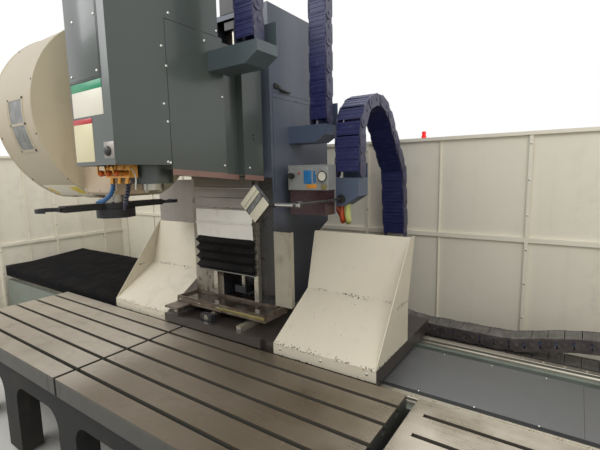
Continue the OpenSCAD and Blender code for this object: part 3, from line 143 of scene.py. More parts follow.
class Signal:
    """An output socket of a material, which Python's own arithmetic can combine."""

    def __init__(self, board: Board, socket: bpy.types.NodeSocket) -> None:
        """Keeps the board that the socket is on."""
        self.board = board
        self.socket = socket

    def _math(self, operation: str, *values: Signal | float) -> Signal:
        """Adds a Math node on the given values."""
        return self.board.node("ShaderNodeMath", {"operation": operation}, dict(enumerate(values)))

    def __add__(self, other: Signal | float) -> Signal:
        """This plus another."""
        return self._math("ADD", self, other)

    __radd__ = __add__

    def __sub__(self, other: Signal | float) -> Signal:
        """This less another."""
        return self._math("SUBTRACT", self, other)

    def __rsub__(self, other: Signal | float) -> Signal:
        """Another less this."""
        return self._math("SUBTRACT", other, self)

    def __mul__(self, other: Signal | float) -> Signal:
        """This times another."""
        return self._math("MULTIPLY", self, other)

    __rmul__ = __mul__

    def __abs__(self) -> Signal:
        """This without its sign."""
        return self._math("ABSOLUTE", self)

    def lower(self, other: Signal | float) -> Signal:
        """The lower of this and another."""
        return self._math("MINIMUM", self, other)

    def higher(self, other: Signal | float) -> Signal:
        """The higher of this and another."""
        return self._math("MAXIMUM", self, other)

    def rise(self, start: float, end: float) -> Signal:
        """Goes smoothly from 0 at start to 1 at end, or from 1 to 0 where end is the lower.

        Args:
            start: Where the change begins.
            end: Where it ends.

        Returns:
            The signal from 0 to 1.
        """
        up = start < end
        values = {0: self, 1: min(start, end), 2: max(start, end), 3: 0.0 if up else 1.0, 4: 1.0 if up else 0.0}
        return self.board.node("ShaderNodeMapRange", {"interpolation_type": "SMOOTHSTEP"}, values)


Value = Signal | float | tuple[float, ...]


class Board:
    """The nodes of one material, ending in a Principled shader."""

    def __init__(self, name: str) -> None:
        """Starts an empty material.

        Args:
            name: The material's name.
        """
        self.material = bpy.data.materials.new(name)
        self.material.use_nodes = True
        self.tree = self.material.node_tree
        self.tree.nodes.clear()
        self.shader = self.tree.nodes.new("ShaderNodeBsdfPrincipled")
        end = self.tree.nodes.new("ShaderNodeOutputMaterial")
        self.tree.links.new(self.shader.outputs[0], end.inputs[0])
        place = self.tree.nodes.new("ShaderNodeTexCoord")
        self.place = Signal(self, place.outputs["Object"])

    def node(
        self,
        kind: str,
        settings: dict[str, object] | None = None,
        values: dict[int | str, Value] | None = None,
        out: int | str = 0,
    ) -> Signal:
        """Adds any node of this scene.

        Args:
            kind: The node's type.
            settings: Its settings, made first.
            values: What feeds its sockets, by place or name: another signal, a number or a colour.
            out: The output wanted.

        Returns:
            The signal of that output.
        """
        made = self.tree.nodes.new(kind)
        for key, value in (settings or {}).items():
            setattr(made, key, value)
        for key, value in (values or {}).items():
            self.feed(made.inputs[key], value)
        return Signal(self, made.outputs[out])

    def feed(self, socket: bpy.types.NodeSocket, value: Value) -> None:
        """Links a signal to a socket, or sets a constant on it.

        Args:
            socket: The input.
            value: What feeds it.
        """
        if isinstance(value, Signal):
            self.tree.links.new(value.socket, socket)
        elif isinstance(value, tuple) and len(value) == 3 and socket.type == "RGBA":
            socket.default_value = (*value, 1.0)
        else:
            socket.default_value = value

    def noise(self, scale: float, detail: float = 4.0, place: Signal | None = None, warp: float = 0.0) -> Signal:
        """Soft noise from 0 to 1, most of it near 0.5.

        Args:
            scale: Lumps to a metre.
            detail: How many finer layers it has.
            place: Coordinates other than the object's own.
            warp: How far its own pattern bends it.

        Returns:
            The noise.
        """
        values = {"Vector": place or self.place, "Scale": scale, "Detail": detail, "Distortion": warp}
        return self.node("ShaderNodeTexNoise", {}, values)

    def drawn(self, stretch: Point, detail: float = 6.0, scale: float = 1.0, turn: Point = (0, 0, 0)) -> Signal:
        """Noise on object coordinates that are turned and then scaled along each axis."""
        values = {"Vector": self.place, "Rotation": turn, "Scale": stretch}
        return self.noise(scale, detail, self.node("ShaderNodeMapping", {}, values))

    def cells(self, scale: float) -> Signal:
        """Distance to the nearest of many scattered points, in cells."""
        return self.node("ShaderNodeTexVoronoi", {}, {"Vector": self.place, "Scale": scale})

    def along(self, axis: Axis) -> Signal:
        """The object coordinate along one axis, in metres."""
        return self.node("ShaderNodeSeparateXYZ", {}, {0: self.place}, axis.value)

    def facing(self, axis: Axis) -> Signal:
        """How far the surface faces along one axis, from -1 to 1."""
        turned = self.node("ShaderNodeNewGeometry", {}, {}, "Normal")
        return self.node("ShaderNodeSeparateXYZ", {}, {0: turned}, axis.value)

    def near(self, axis: Axis, place: float, reach: float) -> Signal:
        """Is 1 at a place along an axis and 0 beyond a reach from it."""
        return abs(self.along(axis) - place).rise(reach, 0.0)

    def within(self, axis: Axis, low: float, high: float, soft: float = 0.002) -> Signal:
        """Is 1 between two places along an axis."""
        at = self.along(axis)
        return at.rise(low - soft, low + soft) * at.rise(high + soft, high - soft)

    def blend(self, share: Value, base: Value, over: Value) -> Signal:
        """Lays one colour over another by a share from 0 to 1."""
        settings = {"data_type": "RGBA", "clamp_factor": True}
        return self.node("ShaderNodeMix", settings, {0: share, 6: base, 7: over}, 2)

    def shade(self, colour: Value, by: Signal) -> Signal:
        """Makes a colour darker or lighter by a factor about 1.

        Args:
            colour: The colour.
            by: The factor.

        Returns:
            The colour times the factor.
        """
        tone = self.node("ShaderNodeCombineColor", {}, {0: by, 1: by, 2: by})
        settings = {"data_type": "RGBA", "blend_type": "MULTIPLY"}
        return self.node("ShaderNodeMix", settings, {0: 1.0, 6: colour, 7: tone}, 2)

    def relief(self, height: Signal, depth: float) -> Signal:
        """Bump from a height of 0 to 1 that is so many metres deep."""
        return self.node("ShaderNodeBump", {}, {"Strength": 1.0, "Distance": depth, "Height": height})

    def finish(self, **sockets: Value) -> bpy.types.Material:
        """Feeds the shader's sockets, named with underscores for spaces, and returns the material.

        Args:
            sockets: What feeds each socket.

        Returns:
            The material.
        """
        for name, value in sockets.items():
            self.feed(self.shader.inputs[name.replace("_", " ")], value)
        return self.material


class Surface:
    """Vertices and faces of one piece, added as whole arrays."""

    def __init__(self) -> None:
        """Starts with nothing."""
        self.points: list[np.ndarray] = []
        self.faces: list[np.ndarray] = []
        self.marks: list[np.ndarray] = []
        self.count = 0

    def add(self, points: np.ndarray, faces: np.ndarray, mark: int = 0) -> Surface:
        """Adds points and the faces between them.

        Args:
            points: An array of n by 3.
            faces: An array of m by 3 or m by 4 of point numbers.
            mark: Which of the piece's materials the faces take.

        Returns:
            This surface.
        """
        self.points.append(np.asarray(points, float).reshape(-1, 3))
        self.faces.append(np.asarray(faces, int) + self.count)
        self.marks.append(np.full(len(faces), mark, int))
        self.count += len(self.points[-1])
        return self

    def grid(self, points: np.ndarray, wrap_u: bool = False, wrap_v: bool = False, mark: int = 0) -> Surface:
        """Adds a grid of quads over an array of u by v by 3.

        Args:
            points: The grid's points.
            wrap_u: Whether the last row joins the first.
            wrap_v: Whether the last column joins the first.
            mark: Which of the piece's materials it takes.

        Returns:
            This surface. Quad (i, j) has the corners (i, j), (i + 1, j), (i + 1, j + 1) and (i, j + 1).
        """
        u, v = points.shape[:2]
        i, j = np.meshgrid(np.arange(u if wrap_u else u - 1), np.arange(v if wrap_v else v - 1), indexing="ij")
        i2, j2 = (i + 1) % u, (j + 1) % v
        quads = np.stack([i * v + j, i2 * v + j, i2 * v + j2, i * v + j2], -1).reshape(-1, 4)
        return self.add(points.reshape(-1, 3), quads, mark)

    def cap(self, ring: np.ndarray, mark: int = 0) -> Surface:
        """Closes a ring with triangles that meet in its middle.

        Args:
            ring: An array of n by 3.
            mark: Which of the piece's materials it takes.

        Returns:
            This surface.
        """
        n = len(ring)
        edge = np.arange(n)
        faces = np.stack([edge, (edge + 1) % n, np.full(n, n)], -1)
        return self.add(np.vstack([ring, ring.mean(0)]), faces, mark)

    def slab(self, low: Point, high: Point, round_by: float, arc: int = 2, mark: int = 0) -> Surface:
        """Adds a box with rounded edges between two corners.

        The outline across Z is four corner arcs about centres that lie in by the rounding; going up it grows with
        the cosine and rises with the sine of an angle from -90 to 90 degrees, split in the middle by the straight side.

        Args:
            low: One corner.
            high: The opposite corner.
            round_by: Radius of its edges.
            arc: Steps in the arc of a corner.
            mark: Which of the piece's materials it takes.

        Returns:
            This surface.
        """
        low, high = np.minimum(low, high), np.maximum(low, high)
        r = min(round_by, float((high - low).min()) * 0.499)
        around = np.linspace(0, np.pi / 2, arc + 1)
        turn = np.concatenate([around + k * np.pi / 2 for k in range(4)])
        side = np.repeat(np.array([[1, 1], [-1, 1], [-1, -1], [1, -1]]), arc + 1, 0)
        middle = (low[:2] + high[:2]) / 2 + side * ((high[:2] - low[:2]) / 2 - r)
        rise = np.concatenate([np.linspace(-np.pi / 2, 0, arc + 1), np.linspace(0, np.pi / 2, arc + 1)])
        base = np.repeat([low[2] + r, high[2] - r], arc + 1)
        flat = middle[None] + r * np.cos(rise)[:, None, None] * np.stack([np.cos(turn), np.sin(turn)], -1)[None]
        height = np.broadcast_to((base + r * np.sin(rise))[:, None, None], (*flat.shape[:2], 1))
        points = np.concatenate([flat, height], -1)
        self.grid(points, wrap_v=True, mark=mark)
        return self.cap(points[0], mark).cap(points[-1], mark)

    def turned(
        self, outline: ArrayLike, place: ArrayLike, axis: ArrayLike, steps: int = 24, mark: int = 0
    ) -> Surface:
        """Adds an outline of radius and height turned about an axis.

        Args:
            outline: An array of n by 2, radius and height along the axis.
            place: Where the axis starts.
            axis: The axis' direction.
            steps: Sides around.
            mark: Which of the piece's materials it takes.

        Returns:
            This surface. Each point is place + height * axis + radius * (cos a * side + sin a * other side).
        """
        axis = np.asarray(axis, float) / np.linalg.norm(axis)
        side = np.cross(axis, [0.0, 0.0, 1.0] if abs(axis[2]) < 0.9 else [1.0, 0.0, 0.0])
        side /= np.linalg.norm(side)
        other = np.cross(axis, side)
        a = np.arange(steps) * 2 * np.pi / steps
        out = np.cos(a)[:, None] * side + np.sin(a)[:, None] * other
        outline = np.asarray(outline, float)
        points = np.asarray(place) + outline[:, 1, None, None] * axis + outline[:, 0, None, None] * out[None]
        return self.grid(points, wrap_v=True, mark=mark)

    def tube(self, path: ArrayLike, radius: float, sides: int = 10, mark: int = 0) -> Surface:
        """Adds a round bar along a path, closed at both ends.

        Args:
            path: An array of n by 3.
            radius: The bar's radius.
            sides: Sides around.
            mark: Which of the piece's materials it takes.

        Returns:
            This surface. Its side direction is the path's tangent crossed with the direction it bends least about,
            and each point is path + radius * (cos a * side + sin a * other side).
        """
        path = np.asarray(path, float)
        tangent = np.gradient(path, axis=0)
        tangent /= np.linalg.norm(tangent, axis=1)[:, None]
        flat = np.linalg.svd(tangent, full_matrices=True)[2][-1]
        side = np.cross(tangent, flat)
        side /= np.linalg.norm(side, axis=1)[:, None]
        other = np.cross(tangent, side)
        a = (np.arange(sides) * 2 * np.pi / sides)[None, :, None]
        points = path[:, None] + radius * (np.cos(a) * side[:, None] + np.sin(a) * other[:, None])
        self.grid(points, wrap_v=True, mark=mark)
        return self.cap(points[0], mark).cap(points[-1], mark)

    def repeat(self, other: Surface, turns: np.ndarray, places: np.ndarray) -> Surface:
        """Adds a copy of another surface for each turn, n by 3 by 3, and place, n by 3, as one array sum.

        Args:
            other: The surface to copy.
            turns: A matrix for each copy, n by 3 by 3.
            places: A place for each copy, n by 3.

        Returns:
            This surface. Each point is its matrix times the old one, plus its place.
        """
        base = np.vstack(other.points)
        copies = np.einsum("nij,pj->npi", turns, base) + places[:, None]
        shift = (np.arange(len(places)) * len(base))[:, None, None]
        for faces, marks in zip(other.faces, other.marks, strict=True):
            moved = (faces[None] + shift).reshape(-1, faces.shape[1]) + self.count
            self.faces.append(moved)
            self.marks.append(np.tile(marks, len(places)))
        self.points.append(copies.reshape(-1, 3))
        self.count += len(self.points[-1])
        return self

    def merge(self, other: Surface) -> Surface:
        """Adds another surface where it stands."""
        return self.repeat(other, np.eye(3)[None], np.zeros((1, 3)))

    def piece(
        self,
        name: str,
        slot: str,
        looks: str,
        body: str | None = "base",
        sharp: float = 35.0,
        closed: bool = True,
    ) -> bpy.types.Object:
        """Makes the mesh and its object, with doubles merged and faces turned outwards.

        Args:
            name: The piece's name.
            slot: The record's material slot; not used.
            looks: The names of its finishes, in the order of the marks.
            body: The body it rides on, or None to leave it unattached.
            sharp: Angle in degrees past which an edge shows.
            closed: Whether its shells are closed, so that their normals can be worked out.

        Returns:
            The object, which sits at the origin.
        """
        mesh = bpy.data.meshes.new(name)
        points = np.vstack(self.points)
        mesh.vertices.add(len(points))
        mesh.vertices.foreach_set("co", points.ravel().astype(np.float32))
        sizes = np.concatenate([np.full(len(f), f.shape[1]) for f in self.faces])
        corners = np.concatenate([f.ravel() for f in self.faces])
        mesh.loops.add(len(corners))
        mesh.loops.foreach_set("vertex_index", corners.astype(np.int32))
        mesh.polygons.add(len(sizes))
        mesh.polygons.foreach_set("loop_start", (np.cumsum(sizes) - sizes).astype(np.int32))
        mesh.polygons.foreach_set("material_index", np.concatenate(self.marks).astype(np.int32))
        mesh.update(calc_edges=True)
        for look in looks.split():
            mesh.materials.append(finish(look))
        work = bmesh.new()
        work.from_mesh(mesh)
        bmesh.ops.remove_doubles(work, verts=work.verts, dist=1e-6)
        if closed:
            bmesh.ops.recalc_face_normals(work, faces=work.faces)
        work.to_mesh(mesh)
        work.free()
        mesh.shade_smooth()
        mesh.set_sharp_from_angle(angle=math.radians(sharp))
        made = bpy.data.objects.new(name, mesh)
        bpy.context.scene.collection.objects.link(made)
        if body is not None:
            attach(made, body)
        LOG.info("%s: %d faces", name, len(mesh.polygons))
        return made


def smooth_path(knots: ArrayLike, per_span: int) -> np.ndarray:
    """Points on a curve through knots, a Catmull-Rom spline worked out for all its points at once.

    Args:
        knots: An array of n by 3.
        per_span: Points from one knot to the next.

    Returns:
        An array of points. On span k at share t it is half of (2 b + (c - a) t + (2 a - 5 b + 4 c - d) t^2
        + (3 b - a - 3 c + d) t^3), where a, b, c and d are the knots about the span.
    """
    knots = np.asarray(knots, float)
    n = len(knots) - 1
    at = np.linspace(0, n, n * per_span + 1)
    k = np.minimum(at.astype(int), n - 1)
    t = (at - k)[:, None]
    a, b, c, d = (knots[np.clip(k + step, 0, n)] for step in (-1, 0, 1, 2))
    return 0.5 * (2 * b + (c - a) * t + (2 * a - 5 * b + 4 * c - d) * t**2 + (3 * b - a - 3 * c + d) * t**3)


def box(low: Point, high: Point, round_by: float) -> Surface:
    """A surface that is one box with rounded edges."""
    return Surface().slab(low, high, round_by)


def disc(radius: float, low: float, high: float) -> list[Span]:
    """Outline of a plain disc between two heights, to be turned."""
    return [(0, low), (radius, low), (radius, high), (0, high)]


class Lay(Enum):
    """Which way a steel was brushed, ground or rolled, by how much the noise is drawn out along each axis."""

    ALONG_X = (1.2, 90.0, 90.0)
    ALONG_Y = (90.0, 1.2, 90.0)
    UPRIGHT = (90.0, 90.0, 1.2)
    NONE = (30.0, 30.0, 30.0)


@dataclass(frozen=True)
class Paint:
    """Factory paint on sheet or castings: cloudy, with orange peel, grime, runs and chips.

    chip_lines holds an axis, a place on it and a reach for each fold or edge where the paint has chipped, and turned an
    axis and a colour painted on the faces that look along it, as painted light on that side.
    """

    colour: Rgb
    grime: Rgb = (0.035, 0.03, 0.022)
    under: Rgb = (0.04, 0.032, 0.025)
    rough: float = 0.42
    coat: float = 0.0
    cloud: float = 0.25
    runs: float = 0.2
    chips: float = 0.0
    peel: float = 0.00025
    chip_lines: tuple[tuple[Axis, float, float], ...] = ()
    low_dirt: Span | None = None
    turned: tuple[Axis, Rgb] | None = None

    def parts(self, board: Board) -> tuple[Signal, Signal, Signal]:
        """Works out the paint's colour, roughness and height.

        Args:
            board: The material's board.

        Returns:
            Colour, roughness and height signals.
        """
        big = board.noise(1.3, 5.0)
        mid = board.noise(7.0, 6.0, warp=0.6)
        fine = board.noise(60.0, 3.0)
        base: Value = self.colour
        # Painted light: faces that look along the turned axis take the other colour.
        if self.turned is not None:
            base = board.blend(board.facing(self.turned[0]).rise(0.5, 0.9), self.colour, self.turned[1])
        colour = board.shade(base, 0.93 + 0.14 * big)
        dirt = big.rise(0.42, 0.72) * mid.rise(0.4, 0.75) * self.cloud
        drawn = board.drawn((16.0, 16.0, 0.7), 5.0)
        dirt = dirt + drawn.rise(0.52, 0.78) * mid.rise(0.35, 0.7) * self.runs
        if self.low_dirt is not None:
            low, high = self.low_dirt
            foot = board.along(Axis.Z).rise(high, low)
            dirt = dirt + foot * (0.25 + 0.6 * mid) * 0.7
        specks = board.cells(38.0).rise(0.16, 0.08) * mid.rise(0.5, 0.62)
        colour = board.blend(dirt + specks * 0.35 * (self.cloud + self.runs), colour, self.grime)
        rough = self.rough + 0.10 * (fine - 0.5) + 0.22 * dirt
        height = fine * 0.35 + mid * 0.1
        if self.chips > 0.0 or self.chip_lines:
            ragged = board.noise(75.0, 6.0, warp=0.4)
            patch = board.noise(5.0, 3.0)
            bare = ragged.rise(0.70 - self.chips, 0.72 - self.chips) * patch.rise(0.5, 0.62)
            for axis, place, reach in self.chip_lines:
                line = board.near(axis, place, reach)
                broken = (ragged + line * 0.17).rise(0.72, 0.735) * line.rise(0.05, 0.3)
                bare = bare.higher(broken * patch.rise(0.36, 0.52))
            tint = board.blend(mid.rise(0.45, 0.6), self.under, (0.16, 0.12, 0.09))
            colour = board.blend(bare, colour, tint)
            rough = rough + bare * 0.25
            height = height - bare * 1.4
        return colour, rough, height

    def make(self, name: str) -> bpy.types.Material:
        """Makes the material of this paint.

        Args:
            name: The material's name.

        Returns:
            The material.
        """
        board = Board(name)
        colour, rough, height = self.parts(board)
        sockets: dict[str, Value] = {"Base_Color": colour, "Roughness": rough}
        sockets["Normal"] = board.relief(height, self.peel)
        if self.coat > 0.0:
            sockets |= {"Coat_Weight": self.coat, "Coat_Roughness": 0.12}
        return board.finish(**sockets)


@dataclass(frozen=True)
class Steel:
    """Bare steel, ground or rolled one way, with oil stains, scratches and rust."""

    colour: Rgb
    lay: Lay = Lay.NONE
    rough: float = 0.34
    metal: float = 0.85
    stain: Rgb = (0.09, 0.065, 0.04)
    stains: float = 0.35
    rust: float = 0.15
    depth: float = 0.0002

    def parts(self, board: Board) -> tuple[Signal, Signal, Signal, Signal]:
        """Works out the steel's colour, roughness, height and share of clean metal.

        Args:
            board: The material's board.

        Returns:
            Colour, roughness, height and metal signals.
        """
        drawn = board.drawn(self.lay.value)
        big = board.noise(1.1, 5.0, warp=0.5)
        mid = board.noise(6.5, 7.0, warp=0.8)
        fine = board.noise(45.0, 4.0)
        colour = board.shade(self.colour, 0.72 + 0.36 * drawn + 0.2 * mid)
        stain = (big.rise(0.42, 0.66) * 0.6 + mid.rise(0.5, 0.72) * 0.5) * self.stains
        colour = board.blend(stain, colour, self.stain)
        spots = (board.noise(21.0, 6.0, warp=1.2).rise(0.66, 0.72) * mid.rise(0.5, 0.66)) * self.rust * 4.0
        colour = board.blend(spots.lower(0.85), colour, (0.15, 0.06, 0.022))
        rough = self.rough + 0.18 * (drawn - 0.5) + 0.16 * stain + 0.3 * spots + 0.1 * (fine - 0.5)
        height = drawn * 0.6 + fine * 0.25 - spots * 0.4
        metal = self.metal * (1.0 - 0.7 * stain - 0.8 * spots).higher(0.0)
        return colour, rough, height, metal

    def make(self, name: str) -> bpy.types.Material:
        """Makes the material of this steel.

        Args:
            name: The material's name.

        Returns:
            The material.
        """
        board = Board(name)
        colour, rough, height, metal = self.parts(board)
        normal = board.relief(height, self.depth)
        return board.finish(Base_Color=colour, Roughness=rough, Metallic=metal, Normal=normal)


@dataclass(frozen=True)
class Plastic:
    """Moulded plastic or rubber, grained, with dust in its hollows and scuffs on what stands out."""

    colour: Rgb
    dust: Rgb = (0.32, 0.3, 0.27)
    rough: float = 0.45
    dusty: float = 0.25
    grain: float = 0.0003
    clear: float = 0.0

    def make(self, name: str) -> bpy.types.Material:
        """Makes the material of this plastic; clear is the share of light that it lets through.

        Args:
            name: The material's name.

        Returns:
            The material.
        """
        board = Board(name)
        fine = board.noise(220.0, 2.0)
        mid = board.noise(12.0, 6.0, warp=0.7)
        scuff = board.drawn((9.0, 2.0, 9.0), 7.0, 3.0)
        up = board.facing(Axis.Z).rise(0.2, 0.95)
        film = (mid.rise(0.4, 0.72) * 0.55 + up * (0.35 + 0.5 * mid)) * self.dusty
        colour = board.shade(self.colour, 0.8 + 0.4 * mid)
        colour = board.blend(film, colour, self.dust)
        colour = board.blend(scuff.rise(0.62, 0.7) * 0.3, colour, self.dust)
        rough = self.rough + 0.12 * (fine - 0.5) + 0.35 * film
        sockets: dict[str, Value] = {"Base_Color": colour, "Roughness": rough}
        sockets["Normal"] = board.relief(fine * 0.6 + mid * 0.4, self.grain)
        if self.clear > 0.0:
            sockets |= {"Transmission_Weight": self.clear, "IOR": 1.45}
        return board.finish(**sockets)


@dataclass(frozen=True)
class TableIron:
    """Cast iron tables: tops ground, stained and scored, with dark slots and oiled sides."""

    top: Rgb = srgb(176, 167, 153)
    side: Rgb = srgb(66, 66, 62)
    height: float = 0.9
    ground_edge: Span = (0.0012, 0.0004)
    grimy_edge: Span = (0.028, 0.006)
    worn_x: Span = (-0.1, 1.62)

    def make(self, name: str) -> bpy.types.Material:
        """Makes the material of a table; the ground finish is kept to the level of the top.

        Args:
            name: The material's name.

        Returns:
            The material.
        """
        board = Board(name)
        steel = Steel(self.top, Lay.ALONG_X, rough=0.36, metal=0.55, stains=0.42, rust=0.12)
        colour, rough, height, metal = steel.parts(board)
        patch = board.noise(0.55, 4.0, warp=0.4)
        oil = patch.rise(0.47, 0.62) * board.noise(3.2, 6.0).rise(0.32, 0.62)
        colour = board.blend(oil * 0.55, colour, srgb(112, 104, 84))
        worn = board.within(Axis.X, *self.worn_x, 0.25) * (0.45 + 0.4 * patch)
        colour = board.blend(worn, colour, srgb(92, 78, 56))
        marks = board.drawn((3.0, 240.0, 1.0), 2.0, turn=(0.0, 0.0, 0.35)).rise(0.69, 0.74)
        more = board.drawn((260.0, 5.0, 1.0), 2.0, turn=(0.0, 0.0, -0.5)).rise(0.7, 0.75)
        scores = (marks + more).lower(1.0) * board.noise(2.6, 3.0).rise(0.5, 0.6)
        colour = board.blend(scores * 0.4, colour, srgb(215, 210, 200))
        pits = board.cells(52.0).rise(0.13, 0.07) * board.noise(3.7, 3.0).rise(0.5, 0.62)
        colour = board.blend(pits * 0.75, colour, srgb(48, 40, 32))
        dark = Paint(self.side, rough=0.5, cloud=0.6, runs=0.5)
        side_colour, side_rough, side_height = dark.parts(board)
        top = board.along(Axis.Z).rise(*(self.height - depth for depth in self.ground_edge))
        grimy = board.along(Axis.Z).rise(*(self.height - depth for depth in self.grimy_edge))
        side_colour = board.blend(grimy * 0.35, side_colour, srgb(96, 86, 70))
        return board.finish(
            Base_Color=board.blend(top, side_colour, colour),
            Roughness=rough * top + side_rough * (1.0 - top) - oil * top * 0.12,
            Metallic=metal * top,
            Normal=board.relief(height * top + side_height * (1.0 - top) - pits * top * 0.6, 0.0003),
        )


@dataclass(frozen=True)
class ColumnPaint:
    """Column: grey-violet sides, a worn cream front with brown runs, and a recess painted near-black as its shade and
    glossy with oil.
    """

    side: Rgb = srgb(88, 94, 107)
    front: Rgb = srgb(168, 160, 146)
    front_y: float = -0.05
    front_top: float = 2.12
    recess: Span = (-0.13, 0.23)
    recess_back: Span = (0.13, 0.12)
    # Where the front turns near-black towards its right side.
    dark_band_x: Span = (0.252, 0.258)
    splash_z: Span = (1.5, 1.08)
    # Where the sides turn darker towards the bottom.
    dark_below_z: Span = (1.85, 1.62)

    def make(self, name: str) -> bpy.types.Material:
        """Makes the material; the front finish is kept to the front plane and the recess's painted shade to the recess.

        Args:
            name: The material's name.

        Returns:
            The material.
        """
        board = Board(name)
        side, rough, height = Paint(self.side, rough=0.38, cloud=0.3, runs=0.25).parts(board)
        drawn = board.drawn((22.0, 22.0, 1.4))
        splash = board.noise(9.0, 7.0, warp=1.0)
        front = board.blend(drawn.rise(0.44, 0.7) * 0.75, self.front, srgb(104, 92, 76))
        front = board.blend(splash.rise(0.56, 0.68) * 0.8, front, srgb(58, 46, 36))
        low = board.along(Axis.Z).rise(*self.splash_z)
        front = board.blend(low * 0.45 * (0.5 + splash), front, srgb(78, 64, 50))
        # Painted shade: the recess is coloured near-black, with brown patches and pale streaks.
        recess_painted_shade = board.blend(splash.rise(0.4, 0.65), srgb(22, 20, 19), srgb(60, 50, 42))
        recess_painted_shade = board.blend(drawn.rise(0.6, 0.7) * 0.22, recess_painted_shade, srgb(150, 140, 126))
        on_front = board.near(Axis.Y, self.front_y, 0.006).rise(0.2, 0.6)
        on_front = on_front * board.along(Axis.Z).rise(self.front_top, self.front_top - 0.01)
        behind = board.within(Axis.X, *self.recess)
        behind = behind * board.along(Axis.Y).rise(self.front_y + 0.001, self.front_y + 0.004)
        behind = behind * board.along(Axis.Y).rise(*self.recess_back)
        # The front is painted near-black to the right of about X 0.255.
        dark_band = board.along(Axis.X).rise(*self.dark_band_x)
        front = board.blend(dark_band * 0.93, front, srgb(26, 25, 28))
        # The sides are painted darker below about Z 1.7.
        under = board.along(Axis.Z).rise(*self.dark_below_z) * 0.7
        side = board.blend(under, side, srgb(26, 24, 27))
        colour = board.blend(on_front, side, front)
        colour = board.blend(behind, colour, recess_painted_shade)
        grease = behind * 0.2 + on_front * splash.rise(0.5, 0.65) * 0.15
        return board.finish(Base_Color=colour, Roughness=rough - grease, Normal=board.relief(height, 0.0003))


@dataclass(frozen=True)
class TrayTin:
    """Drip tray: brown with old oil, wet where it pools, worn bare along its rims."""

    colour: Rgb = srgb(112, 99, 86)
    pool: Rgb = srgb(38, 31, 26)
    rim: float = 1.088

    def make(self, name: str) -> bpy.types.Material:
        """Makes the material; the pool is kept below the rim.

        Args:
            name: The material's name.

        Returns:
            The material.
        """
        board = Board(name)
        mid = board.noise(11.0, 7.0, warp=1.0)
        drawn = board.drawn((5.0, 60.0, 60.0), 5.0)
        colour = board.blend(mid.rise(0.45, 0.65) * 0.7, self.colour, srgb(66, 54, 44))
        colour = board.blend(drawn.rise(0.58, 0.66) * 0.6, colour, srgb(176, 168, 156))
        deep = board.along(Axis.Z).rise(self.rim - 0.004, self.rim - 0.015) * board.facing(Axis.Z).rise(0.4, 0.8)
        colour = board.blend(deep * (0.45 + 0.6 * mid), colour, self.pool)
        rough = 0.42 + 0.2 * (mid - 0.5) - deep * 0.26
        normal = board.relief(mid + drawn * 0.4, 0.0006)
        return board.finish(Base_Color=colour, Roughness=rough, Metallic=0.35 * (1.0 - deep), Normal=normal)


@dataclass(frozen=True)
class Pleats:
    """Coated cloth of the pleated covers: black, greasy in the folds, grey with dust on the ridges."""

    colour: Rgb = srgb(15, 14, 15)
    dust: Rgb = srgb(92, 86, 80)
    dusty: float = 0.14
    lay: Lay = Lay.ALONG_Y

    def make(self, name: str) -> bpy.types.Material:
        """Makes the material.

        Args:
            name: The material's name.

        Returns:
            The material.
        """
        board = Board(name)
        weave = board.noise(700.0, 1.0)
        drawn = board.drawn(tuple(s * 0.4 for s in self.lay.value))
        mid = board.noise(5.0, 6.0, warp=0.8)
        film = board.facing(Axis.Z).rise(-0.2, 0.9) * mid.rise(0.35, 0.7) * 0.8
        film = (film + drawn.rise(0.5, 0.75) * 0.5) * self.dusty
        colour = board.blend(film, self.colour, self.dust)
        colour = board.blend(board.cells(30.0).rise(0.13, 0.06) * mid.rise(0.5, 0.6) * 0.5, colour, self.dust)
        return board.finish(
            Base_Color=colour,
            Roughness=0.7 + 0.25 * film + 0.1 * (weave - 0.5),
            Specular_IOR_Level=0.2,
            Normal=board.relief(weave * 0.3 + drawn * 0.5 + mid, 0.0015),
        )


@dataclass(frozen=True)
class Glow:
    """A plain coloured cover of a lamp or gauge that shines a little."""

    colour: Rgb
    strength: float = 0.6

    def make(self, name: str) -> bpy.types.Material:
        """Makes the material, mottled a little like a moulded lens.

        Args:
            name: The material's name.

        Returns:
            The material.
        """
        board = Board(name)
        colour = board.shade(self.colour, 0.9 + 0.2 * board.noise(30.0, 3.0))
        return board.finish(Base_Color=colour, Roughness=0.2, Emission_Color=colour, Emission_Strength=self.strength)


Finish = Paint | Steel | Plastic | TableIron | ColumnPaint | TrayTin | Pleats | Glow

